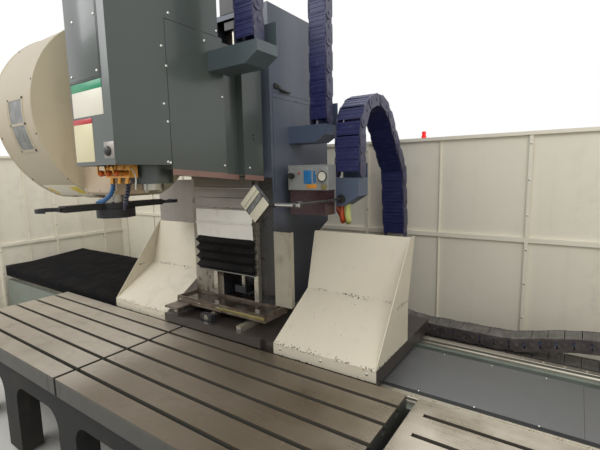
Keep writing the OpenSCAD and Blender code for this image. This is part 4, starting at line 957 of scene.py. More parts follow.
# Every finish by its name
FINISHES: dict[str, Finish] = {
    "table_iron": TableIron(),
    "stand_paint": Paint(srgb(16, 17, 16), rough=0.8, cloud=0.7, runs=0.5, chips=0.03, low_dirt=(0.05, 0.5)),
    "foot_steel": Steel(srgb(92, 90, 86), rough=0.5, metal=0.5, stains=0.6, rust=0.3),
    "bed_paint": Paint(srgb(118, 126, 118), rough=0.4, cloud=0.5, runs=0.4, low_dirt=(0.05, 0.5)),
    "rail_steel": Steel(srgb(196, 190, 176), Lay.ALONG_X, rough=0.28, stains=0.45, rust=0.2),
    "rack_steel": Steel(srgb(120, 116, 108), Lay.ALONG_X, rough=0.4, metal=0.7, stains=0.6),
    "sheet_steel": Steel(srgb(104, 106, 108), Lay.ALONG_X, rough=0.38, metal=0.45, stains=0.2, rust=0.03),
    "pleat_cloth": Pleats(),
    "trough_tin": Steel(srgb(120, 122, 122), Lay.ALONG_X, rough=0.45, metal=0.5, stains=0.5),
    "bed_chain": Plastic(srgb(50, 46, 46), rough=0.42, dusty=0.35),
    "bed_chain_side": Plastic(srgb(66, 60, 60), dust=srgb(130, 122, 114), dusty=0.35),
    "lip_brass": Steel(srgb(150, 138, 88), rough=0.36, metal=0.5, stains=0.4, stain=srgb(92, 82, 40), rust=0.1),
    "step_rust": Steel(srgb(128, 116, 106), Lay.ALONG_X, rough=0.42, metal=0.4, stains=0.5, rust=0.4),
    "strip_brown": Paint(srgb(138, 108, 98), grime=srgb(70, 54, 48), rough=0.38, cloud=0.4, runs=0.3, chips=0.02),
    "navy_chain": Plastic(srgb(34, 37, 86), dust=srgb(96, 100, 136), rough=0.42, dusty=0.1),
    "chain_side": Plastic(srgb(56, 56, 82), dust=srgb(140, 140, 158), dusty=0.3),
    "hose_blue": Plastic(srgb(0, 110, 205), rough=0.3, dusty=0.12),
    "hose_white": Plastic(srgb(222, 222, 216), dust=srgb(150, 140, 120), rough=0.35, dusty=0.2),
    "ball_blue": Plastic(srgb(24, 88, 140), rough=0.3, dusty=0.1),
    "ball_dark": Plastic(srgb(28, 28, 52), rough=0.3, dusty=0.1),
    "wall_paint": Paint(
        srgb(234, 228, 211), grime=srgb(120, 112, 95), rough=0.4, cloud=0.14, runs=0.12,
        peel=0.0004, low_dirt=(0.1, 0.7),
    ),
    "frame_paint": Paint(srgb(168, 168, 162), rough=0.45, cloud=0.3, runs=0.3),
    "lamp_red": Glow(srgb(225, 24, 20), 0.5),
    "saddle_paint": Paint(srgb(60, 54, 50), rough=0.35, cloud=0.8, runs=0.6, chips=0.02),
    "guard_paint": Paint(
        srgb(212, 204, 184), grime=srgb(110, 96, 74), under=srgb(38, 30, 24), rough=0.4, cloud=0.2, runs=0.16,
        chip_lines=((Axis.Z, 1.25, 0.03), (Axis.Z, 0.963, 0.03), (Axis.Z, 0.885, 0.02)),
    ),
    "motor_paint": Paint(srgb(44, 45, 48), rough=0.4, cloud=0.4),
    "carriage_steel": Steel(srgb(118, 120, 116), rough=0.4, metal=0.7, stains=0.6, rust=0.2),
    "column_paint": ColumnPaint(),
    "tray_tin": TrayTin(),
    "wing_steel": Steel(srgb(158, 152, 146), Lay.UPRIGHT, rough=0.36, metal=0.5, stains=0.3, rust=0.1),
    "filler_paint": Paint(srgb(172, 165, 147), grime=srgb(96, 80, 60), cloud=0.5, runs=0.5, chips=0.03),
    "oiler_paint": Paint(srgb(150, 152, 150), rough=0.35, cloud=0.3),
    "oil_tank": Plastic(srgb(84, 56, 62), dust=srgb(60, 40, 44), rough=0.22, dusty=0.3, clear=0.35),
    "rod_chrome": Steel(srgb(200, 200, 198), rough=0.2, metal=0.95, stains=0.15, rust=0.05),
    "lamp_cream": Paint(srgb(216, 210, 188), rough=0.38, runs=0.1, chips=0.02),
    "bracket_paint": Paint(srgb(80, 91, 112), rough=0.4, runs=0.15, chips=0.01),
    "head_bracket_paint": Paint(srgb(78, 90, 94), rough=0.36, runs=0.15, chips=0.01),
    "head_paint": Paint(
        srgb(70, 78, 74), grime=srgb(70, 68, 58), rough=0.3, coat=0.35, runs=0.25, peel=0.0005
    ),
    "cover_steel": Steel(srgb(150, 145, 138), Lay.ALONG_X, rough=0.3, stains=0.3, rust=0.06),
    "card": Paint(srgb(255, 252, 244), grime=srgb(150, 138, 116), rough=0.55, cloud=0.15, runs=0.3, peel=0.0006),
    "nose_steel": Steel(srgb(176, 172, 160), rough=0.26, metal=0.95, stains=0.25, rust=0.1),
    "screw_steel": Steel(srgb(206, 206, 200), rough=0.22, metal=0.9, stains=0.2, rust=0.05),
    "brass": Steel(srgb(204, 150, 78), rough=0.3, metal=0.8, stain=srgb(96, 60, 30), rust=0.05),
    "tap_orange": Plastic(srgb(206, 96, 26), rough=0.35, dusty=0.15),
    "button_green": Plastic(srgb(26, 150, 108), rough=0.3, dusty=0.05),
    "cam_paint": Paint(srgb(204, 184, 158), grime=srgb(120, 84, 60), rough=0.4, cloud=0.6, runs=0.6, chips=0.02),
    "arm_black": Steel(srgb(38, 38, 40), rough=0.42, metal=0.35, stains=0.2, rust=0.05, stain=srgb(60, 58, 56)),
    # Painted light: the faces that look along +X are painted lighter, as if lit.
    "drum_paint": Paint(
        srgb(176, 165, 142), turned=(Axis.X, srgb(208, 196, 168)), grime=srgb(130, 116, 88), rough=0.4,
        cloud=0.2, runs=0.16,
    ),
    "pot_plastic": Plastic(srgb(40, 42, 48), rough=0.4, dusty=0.15),
    "disc_paint": Paint(srgb(98, 100, 104), rough=0.4, cloud=0.3, runs=0.1),
    "field_white": Paint(srgb(226, 222, 206), grime=srgb(150, 138, 112), rough=0.35),
    "field_cream": Paint(srgb(216, 208, 170), grime=srgb(150, 134, 96), rough=0.35),
    "field_green": Paint(srgb(16, 140, 96), rough=0.3, cloud=0.15, runs=0.1),
    "field_red": Paint(srgb(186, 40, 48), rough=0.3, cloud=0.15, runs=0.1),
    "field_yellow": Paint(srgb(222, 196, 52), grime=srgb(140, 110, 50), rough=0.35, cloud=0.3),
    "field_blue": Paint(srgb(36, 118, 178), rough=0.3, cloud=0.15, runs=0.1),
    "field_orange": Paint(srgb(226, 150, 40), rough=0.35, cloud=0.2, runs=0.1),
    "cable_red": Plastic(srgb(196, 78, 34), rough=0.35, dusty=0.15),
    "cable_green": Plastic(srgb(196, 202, 118), rough=0.35, dusty=0.2),
    "seam_dark": Plastic(srgb(24, 26, 26), rough=0.6, dusty=0.1),
    "trim_black": Plastic(srgb(22, 22, 22), rough=0.4, dusty=0.12),
    "window_pane": Plastic(srgb(112, 114, 112), dust=srgb(176, 176, 168), rough=0.25, dusty=0.35),
}

# The CAD nodes that take each finish
FINISH_NODES: dict[str, str] = {
    "stand_paint": "table_stand",
    "table_iron": "table_left table_center table_right",
    "foot_steel": "leveling_feet",
    "bed_paint": "x_bed",
    "rail_steel": "x_rails y_rails z_rails",
    "rack_steel": "x_rack x_pinion",
    "sheet_steel": "way_cover_sheet",
    "pleat_cloth": "x_way_bellows z_bellows",
    "trough_tin": "cable_trough",
    "bed_chain": "x_drag_chain",
    "navy_chain": "y_drag_chain z_drag_chain",
    "frame_paint": "wall_frame",
    "wall_paint": "back_wall side_walls",
    "lamp_red": "alarm_lamp",
    "saddle_paint": "saddle",
    "carriage_steel": "x_carriages y_carriages z_carriages",
    "guard_paint": "guard_left guard_right",
    "motor_paint": "x_gearbox y_bearings z_bearings spindle_motor",
    "bracket_paint": "y_chain_post column_chain_bracket y_chain_bracket",
    "head_bracket_paint": "head_chain_bracket",
    "nose_steel": "y_ball_screw z_ball_screw spindle arm_sleeve",
    "column_paint": "column",
    "tray_tin": "drip_tray",
    "wing_steel": "steel_wing",
    "filler_paint": "filler_panel",
    "oiler_paint": "lubricator",
    "oil_tank": "oil_tank",
    "rod_chrome": "lamp_rod",
    "lamp_cream": "work_lamp",
    "head_paint": "head_casting head_hoods",
    "cover_steel": "z_way_cover",
    "button_green": "unclamp_button",
    "brass": "coolant_valves",
    "ball_blue": "coolant_nozzles",
    "cam_paint": "cam_box",
    "arm_black": "change_arm",
    "drum_paint": "tool_drum",
    "disc_paint": "pot_disc",
    "pot_plastic": "tool_pots tipping_pot",
}

NODE_FINISH: dict[str, str] = {node: finish for finish, nodes in FINISH_NODES.items() for node in nodes.split()}


@cache
def finish(name: str) -> bpy.types.Material:
    """The material of a finish, made the first time that it is asked for."""
    return FINISHES[name].make(name)


def dress(nodes: dict[str, bpy.types.Object]) -> None:
    """Gives every CAD node its finish in place of the plain one that it was packed with.

    Args:
        nodes: The CAD nodes by their names.
    """
    for name, node in nodes.items():
        node.data.materials.clear()
        node.data.materials.append(finish(NODE_FINISH[name]))
        node.data.polygons.foreach_set("material_index", np.zeros(len(node.data.polygons), np.int32))
        LOG.info("%s takes %s", name, NODE_FINISH[name])


@dataclass
class Studio:
    """Camera, lamps, world and floor.

    The camera is the photograph's: its place, the three directions of its frame, and its lens for a 36 mm sensor.
    Each lamp has its place, its target, the length of its side and its power. The world has one colour and strength
    as a light, the dim one, and another as a backdrop.
    """

    place: Point = (2.4, -2.5, 2.15)
    right: Point = (0.82358, 0.56683, -0.02022)
    up: Point = (-0.05730, 0.11861, 0.99129)
    back: Point = (0.56429, -0.81525, 0.13017)
    lens: float = 24.05
    sensor: float = 36.0
    clip: Span = (0.02, 200.0)
    floor_size: float = 60.0
    floor_z: float = -0.001
    floor_colour: Rgb = srgb(206, 204, 198)
    dim: tuple[Rgb, float] = ((1.0, 0.99, 0.97), 0.62)
    white: tuple[Rgb, float] = ((1.0, 1.0, 1.0), 1.0)
    lamps: tuple[tuple[Point, Point, float, float], ...] = (
        ((-3.5, -5.5, 6.2), (0.0, 0.0, 1.2), 5.0, 260.0),
        ((5.5, -4.0, 6.0), (0.6, 0.0, 1.0), 4.0, 150.0),
        ((0.5, 3.5, 7.0), (0.5, 0.2, 1.0), 5.0, 190.0),
    )

    def build(self) -> None:
        """Makes the camera, the lamps, the world and the floor."""
        self.camera()
        for index, (place, target, size, power) in enumerate(self.lamps):
            self.lamp(f"lamp_{index}", place, target, size, power)
        self.world()
        self.floor()
        bpy.context.scene.view_settings.view_transform = "Standard"

    def stand(self, name: str, data: bpy.types.ID, columns: np.ndarray, place: Point) -> bpy.types.Object:
        """Puts up a camera or a lamp whose three directions are the columns of its matrix.

        Args:
            name: Its name.
            data: The camera or the lamp.
            columns: Its right, up and back directions.
            place: Where it stands.

        Returns:
            Its object.
        """
        whole = np.eye(4)
        whole[:3, :3] = columns
        whole[:3, 3] = place
        made = bpy.data.objects.new(name, data)
        made.matrix_world = Matrix(whole.tolist())
        bpy.context.scene.collection.objects.link(made)
        return made

    def camera(self) -> None:
        """Makes the camera, its three directions squared up against one another."""
        data = bpy.data.cameras.new("camera")
        data.lens = self.lens
        data.sensor_width = self.sensor
        data.sensor_fit = "HORIZONTAL"
        data.clip_start, data.clip_end = self.clip
        q, r = np.linalg.qr(np.array([self.right, self.up, self.back]).T)
        bpy.context.scene.camera = self.stand("camera", data, q * np.sign(np.diag(r)), self.place)

    def lamp(self, name: str, place: Point, target: Point, size: float, power: float) -> None:
        """Makes a square soft lamp that faces a target, with its back towards where it stands.

        Args:
            name: Its name.
            place: Where it stands.
            target: What it faces.
            size: The length of its side.
            power: Its power in watts.
        """
        data = bpy.data.lights.new(name, "AREA")
        data.shape = "SQUARE"
        data.size = size
        data.energy = power
        back = np.array(place) - np.array(target)
        back /= np.linalg.norm(back)
        side = np.cross(UP, back)
        side /= np.linalg.norm(side)
        self.stand(name, data, np.array([side, np.cross(back, side), back]).T, place)

    def world(self) -> None:
        """Makes the world: white to the camera, to reflections and through clear things, dimmer as a light."""
        world = bpy.data.worlds.new("studio")
        world.use_nodes = True
        nodes, links = world.node_tree.nodes, world.node_tree.links
        nodes.clear()
        rays = nodes.new("ShaderNodeLightPath")
        seen = rays.outputs["Is Camera Ray"]
        for kind in ("Is Glossy Ray", "Is Transmission Ray"):
            either = nodes.new("ShaderNodeMath")
            either.operation = "MAXIMUM"
            links.new(seen, either.inputs[0])
            links.new(rays.outputs[kind], either.inputs[1])
            seen = either.outputs[0]
        mix = nodes.new("ShaderNodeMixShader")
        links.new(seen, mix.inputs[0])
        for socket, (colour, strength) in enumerate((self.dim, self.white), 1):
            light = nodes.new("ShaderNodeBackground")
            light.inputs["Color"].default_value = (*colour, 1.0)
            light.inputs["Strength"].default_value = strength
            links.new(light.outputs[0], mix.inputs[socket])
        end = nodes.new("ShaderNodeOutputWorld")
        links.new(mix.outputs[0], end.inputs[0])
        bpy.context.scene.world = world

    def floor(self) -> None:
        """Makes the floor, a level square that isn't part of the machine."""
        edge = np.linspace(-self.floor_size / 2, self.floor_size / 2, 3)
        u, v = np.meshgrid(edge, edge, indexing="ij")
        surface = Surface().grid(np.stack([u, v, np.full_like(u, self.floor_z)], -1))
        board = Board("floor")
        soft = board.noise(1.5, 5.0)
        tone = board.shade(self.floor_colour, 0.97 + 0.06 * soft)
        look = board.finish(Base_Color=tone, Roughness=0.55 + 0.1 * soft)
        mesh = bpy.data.meshes.new("floor")
        mesh.from_pydata(surface.points[0].tolist(), [], surface.faces[0].tolist())
        mesh.materials.append(look)
        made = bpy.data.objects.new("floor", mesh)
        bpy.context.scene.collection.objects.link(made)
        made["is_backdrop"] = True


@dataclass(frozen=True)
class LinkShape:
    """Sizes of the closed links of one chain.

    The window is the half length and half height of the oval in each side plate, or 0 where it is plain. The cover
    gives how far the two faces of the closing plate lie under the link's edge, and the pin is an outline to turn.
    """

    width: float
    height: float
    window: Span = (0.0, 0.0)
    plate: float = 0.007
    inset: float = 0.004
    cover: Span = (0.012, 0.005)
    gap: float = 0.0015
    rib: float = 0.0025
    rib_half: float = 0.006
    ribs: int = 3
    pin: Outline = ((0.0, 0.0), (0.017, 0.0), (0.017, 0.003), (0.008, 0.0045), (0.0, 0.0045))

    def side_plate(self, length: float, low: float, high: float) -> Surface:
        """Makes a side plate between two places across the chain.

        The outline is a circle of which the half past the middle stands one link further on. The window's is an
        ellipse about the middle of the link.

        Args:
            length: Distance between its pins.
            low: One face's place.
            high: The other's.

        Returns:
            The plate.
        """
        a = (np.arange(32) + 0.5) * np.pi / 16
        r = self.height / 2 - self.inset
        outer = np.stack([r * np.cos(a) + length * (np.cos(a) > 0), 0 * a, r * np.sin(a)], -1)
        near, far = np.array([0.0, low, 0.0]), np.array([0.0, high, 0.0])
        if self.window[0] > 0:
            inner = np.stack([length / 2 + self.window[0] * np.cos(a), 0 * a, self.window[1] * np.sin(a)], -1)
            rings = np.stack([outer + near, outer + far, inner + far, inner + near])
            return Surface().grid(rings, wrap_u=True, wrap_v=True, mark=1)
        rings = np.stack([outer + near, outer + far])
        return Surface().grid(rings, wrap_v=True, mark=1).cap(rings[0], 1).cap(rings[1], 1)

    def link(self, length: float, inner: bool) -> Surface:
        """Makes one link from its first pin, along +X, with the width along +Y and the outside of a bend at +Z.

        Args:
            length: Distance between its pins.
            inner: Whether its side plates lie further in.

        Returns:
            The link.
        """
        step = self.plate if inner else 0.0
        made = Surface()
        for low in (step, self.width - self.plate - step):
            made.merge(self.side_plate(length, low, low + self.plate))
        for low, out in ((0.0005, -1.0), (self.width - 0.0005, 1.0)):
            made.turned(self.pin, (length, low, 0.0), (0.0, out, 0.0), 14, 1)
        under, over = (self.height / 2 - depth for depth in self.cover)
        start = self.plate * 2
        end = self.width - start
        for side in (-1.0, 1.0):
            made.slab((self.gap, start, side * under), (length - self.gap, end, side * over), 0.0008, 1)
            for k in range(self.ribs):
                x = length * (k + 0.5) / self.ribs
                low = (x - self.rib_half, start - 0.004, side * (over - 0.001))
                made.slab(low, (x + self.rib_half, end + 0.004, side * (over + self.rib)), 0.003, 1)
        return made


def straight(a: Span, b: Span, pitch: float) -> np.ndarray:
    """Points from a to just before b, about one pitch apart."""
    n = max(1, round(float(np.linalg.norm(np.subtract(b, a))) / pitch))
    return np.asarray(a) + np.subtract(b, a) * (np.arange(n) / n)[:, None]


def bend(middle: Span, r: float, start: float, end: float, pitch: float) -> np.ndarray:
    """Points on an arc between two angles in degrees, about one pitch apart, without the last.

    Args:
        middle: The arc's centre, as run and height.
        r: Its radius.
        start: The first angle.
        end: The last angle.
        pitch: The distance wanted between points.

    Returns:
        An array of n by 2: the middle plus r times the cosine and the sine of each angle.
    """
    n = max(2, round(abs(end - start) * math.pi / 180 * r / pitch))
    t = np.radians(start + (end - start) * np.arange(n) / n)
    return np.asarray(middle) + r * np.stack([np.cos(t), np.sin(t)], -1)


@dataclass(frozen=True)
class ChainRun:
    """A run of links along a path of run and height, and the hoses in it, each with its shift, lift and radius."""

    shape: LinkShape
    axis: Axis
    side: float
    hoses: tuple[Trio, ...] = ()

    def build(self, path: np.ndarray, first: int = 0) -> Surface:
        """Lays links along the path.

        Args:
            path: Pins as an array of n by 2, run and height.
            first: The number of the first link, as the side plates of every other link lie further in.

        Returns:
            The links as one surface. Each stands in the frame of its run's direction d, the width's direction, and
            the direction across both, which is d turned a quarter in the path's plane.
        """
        runs = np.diff(path, axis=0)
        length = np.linalg.norm(runs, axis=1)
        c, s = (runs / length[:, None]).T
        zero, one = np.zeros_like(c), np.ones_like(c)
        along, across, upward = (c, zero, -s), (zero, one, zero), (s, zero, c)
        before = 1 if self.axis is Axis.X else 0
        rows = (along, across, upward) if before else (across, along, upward)
        turns = np.stack([np.stack(row, -1) for row in rows], 1)
        places = np.insert(path[:-1], before, self.side, 1)
        made = Surface()
        for k, (turn, place) in enumerate(zip(turns, places, strict=True)):
            link = self.shape.link(float(length[k]), (first + k) % 2 == 1)
            made.repeat(link, turn[None], place[None])
        for shift, lift, radius in self.hoses:
            knots = np.insert(path, before, self.side + shift, 1)
            knots[:, 2] += lift
            made.tube(smooth_path(knots, 3), radius, 8, 2)
        return made


@dataclass(frozen=True)
class Arch:
    """Pins of a standing chain: up from its foot, over by a bend to an angle in degrees, and down by more points."""

    foot: Span
    top: Span
    middle: Span
    radius: float
    last_angle: float
    down: tuple[Span, ...]

    def pins(self, pitch: float) -> np.ndarray:
        """Lays the pins about one pitch apart: straight runs and an arc, each without its last point, and the end.

        Args:
            pitch: The distance wanted between pins.

        Returns:
            An array of n by 2, run and height.
        """
        runs = [straight(self.foot, self.top, pitch), bend(self.middle, self.radius, 180, self.last_angle, pitch)]
        runs += [straight(a, b, pitch) for a, b in zip(self.down, self.down[1:], strict=False)]
        return np.vstack([*runs, self.down[-1]])


@dataclass
class DragChains:
    """The three chains: the bed chain lying on itself, the column chain and the head chain standing up in arches.

    Each piece of the bed chain has its first link's number and the places along X where it would follow the base
    alone and the saddle alone.
    """

    pitch: float = 0.1
    bed: ChainRun = ChainRun(
        LinkShape(0.19, 0.105, window=(0.03, 0.024)),
        Axis.X,
        0.69,
        ((0.03, 0.0, 0.016), (0.065, 0.01, 0.013), (0.1, -0.006, 0.017), (0.14, 0.004, 0.014), (0.165, -0.01, 0.012)),
    )
    bed_low: float = 0.7425
    bed_lies_up: float = 0.107
    bed_start: float = 0.7068
    bed_bend_x: float = 2.693
    bed_r: float = 0.107
    bed_end: float = 1.4
    bed_sag: float = 0.075
    bed_middle: Span = (0.785, 0.85)
    bed_spans: tuple[tuple[int, float, float], ...] = ((0, 4.726, 0.66), (20, 27.693, -22.307), (23, 1.4, 3.986))
    column: ChainRun = ChainRun(LinkShape(0.22, 0.1), Axis.Y, 0.85)
    column_arch: Arch = Arch(
        (0.27, 2.146), (0.275, 2.412), (0.575, 2.412), 0.3, 40, ((0.8048, 2.6048), (1.155, 2.151), (1.215, 1.551))
    )
    column_span: Block = ((0.96, 1.215, 2.0), (0.96, 0.27, 2.0))
    head: ChainRun = ChainRun(LinkShape(0.165, 0.1), Axis.Y, 0.62)
    head_arch: Arch = Arch((-0.55, 2.962), (-0.55, 3.535), (-0.135, 3.535), 0.415, 0, ((0.28, 3.535), (0.28, 2.56)))
    head_span: Block = ((0.7, 0.28, 3.0), (0.7, -0.55, 3.0))

    def build(self) -> None:
        """Builds the bed chain in three pieces, since its bend moves half as far as the saddle, and the other two.

        The upper run sags by 1 less the cosine of its share of a turn, and lies on the lower run where it meets it.
        """
        looks = "bed_chain bed_chain_side hose_blue"
        share = np.arange(21) / 20
        sag = (1 - np.cos(2 * np.pi * share)) * self.bed_sag
        run = self.bed_start + share * (self.bed_bend_x - self.bed_start)
        height = np.maximum(self.bed_low + self.bed_lies_up, self.bed_low + 2 * self.bed_r - sag)
        corner, end = (self.bed_bend_x, self.bed_low), (self.bed_end, self.bed_low)
        turn = bend((self.bed_bend_x, self.bed_low + self.bed_r), self.bed_r, 90, -90, self.pitch)
        paths = {
            "bed_chain_top": np.stack([run, height], -1),
            "bed_chain_bend": np.vstack([turn, corner]),
            "bed_chain_low": np.vstack([straight(corner, end, self.pitch), end]),
        }
        for (name, path), (first, still, moved) in zip(paths.items(), self.bed_spans, strict=True):
            piece = self.bed.build(path, first).piece(name, "chain_black", looks, None)
            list(self.bed_middle)
            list(self.bed_middle)
            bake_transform(piece)
            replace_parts(piece, "x_drag_chain")
        looks = "navy_chain chain_side"
        for name, node, chain, arch, bodies, span in (
            ("column_chain", "y_drag_chain", self.column, self.column_arch, ("saddle", "column"), self.column_span),
            ("head_chain", "z_drag_chain", self.head, self.head_arch, ("column", "head"), self.head_span),
        ):
            piece = chain.build(arch.pins(self.pitch)).piece(name, "chain_blue", looks, None)
            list(bodies)
            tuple(span[0])
            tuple(span[1])
            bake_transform(piece)
            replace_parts(piece, node)


@dataclass(frozen=True)
class Folds:
    """Fold heights along a pleated cover: 0 on a ridge, 1 in a valley.

    With p the pleats passed, the height is 2 |p mod 1 - 1/2| raised to 0.8, so that cloth bulges between its creases.
    """

    count: int
    samples: int = 8

    def along(self) -> tuple[np.ndarray, np.ndarray]:
        """Returns the shares of the cover's length and the fold height at each."""
        p = np.arange(self.count * self.samples + 1) / self.samples
        return p / self.count, (2 * np.abs(p % 1 - 0.5)) ** 0.8


@dataclass
class BedCover:
    """Pleated cloth over the bed left of the saddle: a roof that rises to the back, with a skirt at each side.

    The edge is the rounded corner between roof and skirt: places in from the side and how far each lies down.
    """

    left: float = -3.896
    right: float = -1.2663
    front: float = -0.41
    back: float = 0.64
    foot: float = 0.846
    top: float = 0.96
    slope: float = 0.0905
    fold: float = 0.04
    skirt_fold: float = 0.026
    pleats: int = 40
    looseness: float = 0.0025
    sag: float = 0.006
    edge: Row = (0.0, 0.0, 0.0, 0.004, 0.011, 0.02)
    edge_drop: Row = (9.0, 0.06, 0.02, 0.011, 0.004, 0.0)
    end_top: float = 0.985
    saddle_end_top: float = 0.925

    def build(self) -> None:
        """Builds the cloth and its two end frames.

        A roof point lies at the top, plus the slope times its place, less the fold, and sags by a half sine across.
        """
        share, fold = Folds(self.pleats).along()
        rng = np.random.default_rng(11)
        ridges = np.arange(self.pleats + 1)
        loose = np.interp(share * self.pleats, ridges, rng.normal(0, self.looseness, self.pleats + 1))
        x = self.left + share * (self.right - self.left) + loose * np.sin(np.pi * share)
        front = self.front + self.skirt_fold * fold
        back = self.back - self.skirt_fold * fold
        edge, edge_drop, width = np.array(self.edge), np.array(self.edge_drop), self.back - self.front
        across = np.concatenate([edge, np.linspace(0.04, 0.96, 24) * width, width - edge[::-1]])
        drop = np.concatenate([edge_drop, np.zeros(24), edge_drop[::-1]])
        y = front[:, None] + across[None] / width * (back - front)[:, None]
        sag = self.sag * np.sin(np.pi * across / width)[None] * fold[:, None]
        roof = self.top + self.slope * (y - self.front) - self.fold * fold[:, None] + loose[:, None] * 1.2 - sag
        z = np.maximum(roof - drop[None], self.foot)
        cloth = Surface().grid(np.stack([np.broadcast_to(x[:, None], y.shape), y, z], -1))
        piece = cloth.piece("bed_cover_cloth", "bellows_black", "pleat_cloth", None, 50.0, closed=False)
        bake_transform(piece)
        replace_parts(piece, "x_way_bellows")
        for name, x0, x1, top, body in (
            ("bed_cover_end", self.left, self.left + 0.004, self.end_top, "base"),
            ("bed_cover_saddle_end", self.right - 0.006, self.right, self.saddle_end_top, "saddle"),
        ):
            frame = box((x0, self.front + 0.004, self.foot - 0.001), (x1, self.back - 0.004, top), 0.001)
            frame.piece(name, "bellows_black", "trim_black", body)


@dataclass
class HeadCover:
    """Sliding cover under the head: three steel steps, a card with a crease, and folded cloth."""

    left: float = -0.365
    right: float = 0.3
    back: float = -0.109
    steps: int = 3
    step_top: float = 2.126
    step_foot: float = 1.861
    step_face: float = -0.113
    step_out: float = 0.004
    card_face: float = -0.117
    card_foot: float = 1.62
    crease_z: float = 1.735
    crease_h: float = 0.009
    cloth_back: float = -0.095
    fold: float = 0.03
    foot: float = 1.322

    def build(self) -> None:
        """Builds the steps, the card and the cloth.

        The card dips in along its crease by a bell curve and bulges by a half sine. The cloth's face goes out by the
        fold on each ridge, and its sides come in with the fold height.
        """
        step = (self.step_top - self.step_foot) / self.steps
        plates = Surface()
        for i in range(self.steps):
            up = self.steps - i
            low, high = self.step_foot + (up - 1) * step, self.step_foot + up * step
            x0, x1 = self.left + 0.002 * i, self.right - 0.002 * i
            y = self.step_face - self.step_out * up
            plates.slab((x0, y, low - 0.004), (x1, self.back, high), 0.0015, 1)
            plates.slab((x0 - 0.001, y - 0.004, low - 0.008), (x1 + 0.001, self.back, low + 0.008), 0.003, 2)
        self.join(plates.piece("head_cover_steps", "cover_steel", "cover_steel", None))
        z = np.linspace(self.card_foot - 0.004, self.step_foot + 0.004, 49)
        xx, zz = np.meshgrid(np.linspace(self.left + 0.006, self.right - 0.006, 25), z)
        crease = -0.011 * np.exp(-(((zz - self.crease_z - 0.02 * (xx - self.left)) / self.crease_h) ** 2))
        bulge = -0.005 * np.sin(np.pi * (zz - z[0]) / (z[-1] - z[0])) * (1 + 0.3 * np.sin(9 * xx))
        sheet = Surface().grid(np.stack([xx, self.card_face + crease + bulge, zz], -1).transpose(1, 0, 2))
        self.join(sheet.piece("head_cover_card", "cover_steel", "card", None, 40.0, closed=False))
        share, fold = Folds(4, 12).along()
        z = self.foot + share * (self.card_foot - self.foot)
        x0, x1 = self.left + 0.004 + 0.022 * fold, self.right - 0.006 - 0.016 * fold
        y = self.card_face - self.fold * (1 - fold)
        back = np.full_like(z, self.cloth_back)
        across = np.linspace(0, 1, 13)
        inner = x0[:, None] + across[None] * (x1 - x0)[:, None]
        face = y[:, None] + 0.006 * np.sin(np.pi * across)[None] * (fold[:, None] - 0.5)
        xs = np.concatenate([x0[:, None], inner, x1[:, None]], 1)
        ys = np.concatenate([back[:, None], face, back[:, None]], 1)
        cloth = Surface().grid(np.stack([xs, ys, np.broadcast_to(z[:, None], xs.shape)], -1).transpose(1, 0, 2))
        self.join(cloth.piece("head_cover_cloth", "bellows_black", "pleat_cloth", None, 50.0, False), "z_bellows")
        low, high = (self.left + 0.004, -0.122, self.foot - 0.006), (self.right - 0.004, -0.094, self.foot + 0.004)
        box(low, high, 0.002).piece("head_cover_foot", "cover_steel", "carriage_steel", "column")

    def join(self, piece: bpy.types.Object, node: str = "z_way_cover") -> None:
        """Bakes a piece's place into its mesh and hides the CAD node that it stands in for."""
        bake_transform(piece)
        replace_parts(piece, node)


def screws(places: ArrayLike, axis: Point, radius: float, sides: int = 12) -> Surface:
    """Domed screw heads on a face, each a turned outline that is 0.7 of its radius high.

    Args:
        places: Where each head stands.
        axis: The way that they face.
        radius: Their radius.
        sides: Sides around.

    Returns:
        The heads as one surface.
    """
    outline = np.array([[0, -0.001], [1, -0.001], [1, 0.25], [0.85, 0.5], [0.5, 0.66], [0, 0.7]], float)
    outline[:, 0] *= radius
    outline[2:, 1] *= radius
    made = Surface()
    for place in np.asarray(places, float):
        made.turned(outline, place, axis, sides)
    return made


def dark_line(side: float, low: Span, high: Span) -> Block:
    """Corners of a seam in a right side, between two corners in Y and Z; it stands out by less than a millimetre."""
    return (side - 0.001, *low), (side + 0.0009, *high)


@dataclass
class GuardTrim:
    """Hemmed top edges of the splash guards and the screws near their lips, each at a place in Y and Z."""

    spans: Outline = ((-1.266, -0.488), (0.697, 1.475))
    hem: Span = (0.1685, 1.687)
    hem_r: float = 0.0042
    lip: Span = (-0.4, 0.93)
    inset: float = 0.06

    def build(self) -> None:
        """Builds a rolled hem on each guard and three screws near the lip."""
        hems = Surface()
        for low, high in self.spans:
            hems.tube([(x, *self.hem) for x in np.linspace(low + 0.004, high - 0.004, 5)], self.hem_r, 10)
        hems.piece("guard_hems", "guard_cream", "guard_paint", "saddle")
        rows = ((low + self.inset, (low + high) / 2, high - self.inset) for low, high in self.spans)
        heads = screws([(x, *self.lip) for row in rows for x in row], TO_FRONT, 0.009)
        heads.piece("guard_screws", "spindle_steel", "screw_steel", "saddle")


@dataclass
class RoomTrim:
    """Screws along the ribs of the walls, at heights given by the first, an end and the step."""

    back: float = 1.4
    half: float = 4.05
    rib: float = 0.026
    joints: Row = (-3.853, -2.373, -0.893, 0.587, 2.067, 3.547)
    side_joints: Row = (-0.4, 0.34, 1.08)
    heights: Trio = (0.25, 2.4, 0.3)

    def build(self) -> None:
        """Builds the screws of the back wall and of both side walls."""
        heights = np.arange(*self.heights)
        places = [(x, self.back - self.rib, z) for x in self.joints for z in heights]
        made = screws(places, TO_FRONT, 0.009, 10)
        for side in (-1, 1):
            places = [(side * (self.half - self.rib), y, z) for y in self.side_joints for z in heights]
            made.merge(screws(places, (-side, 0.0, 0.0), 0.009, 10))
        made.piece("wall_screws", "wall_white", "screw_steel")


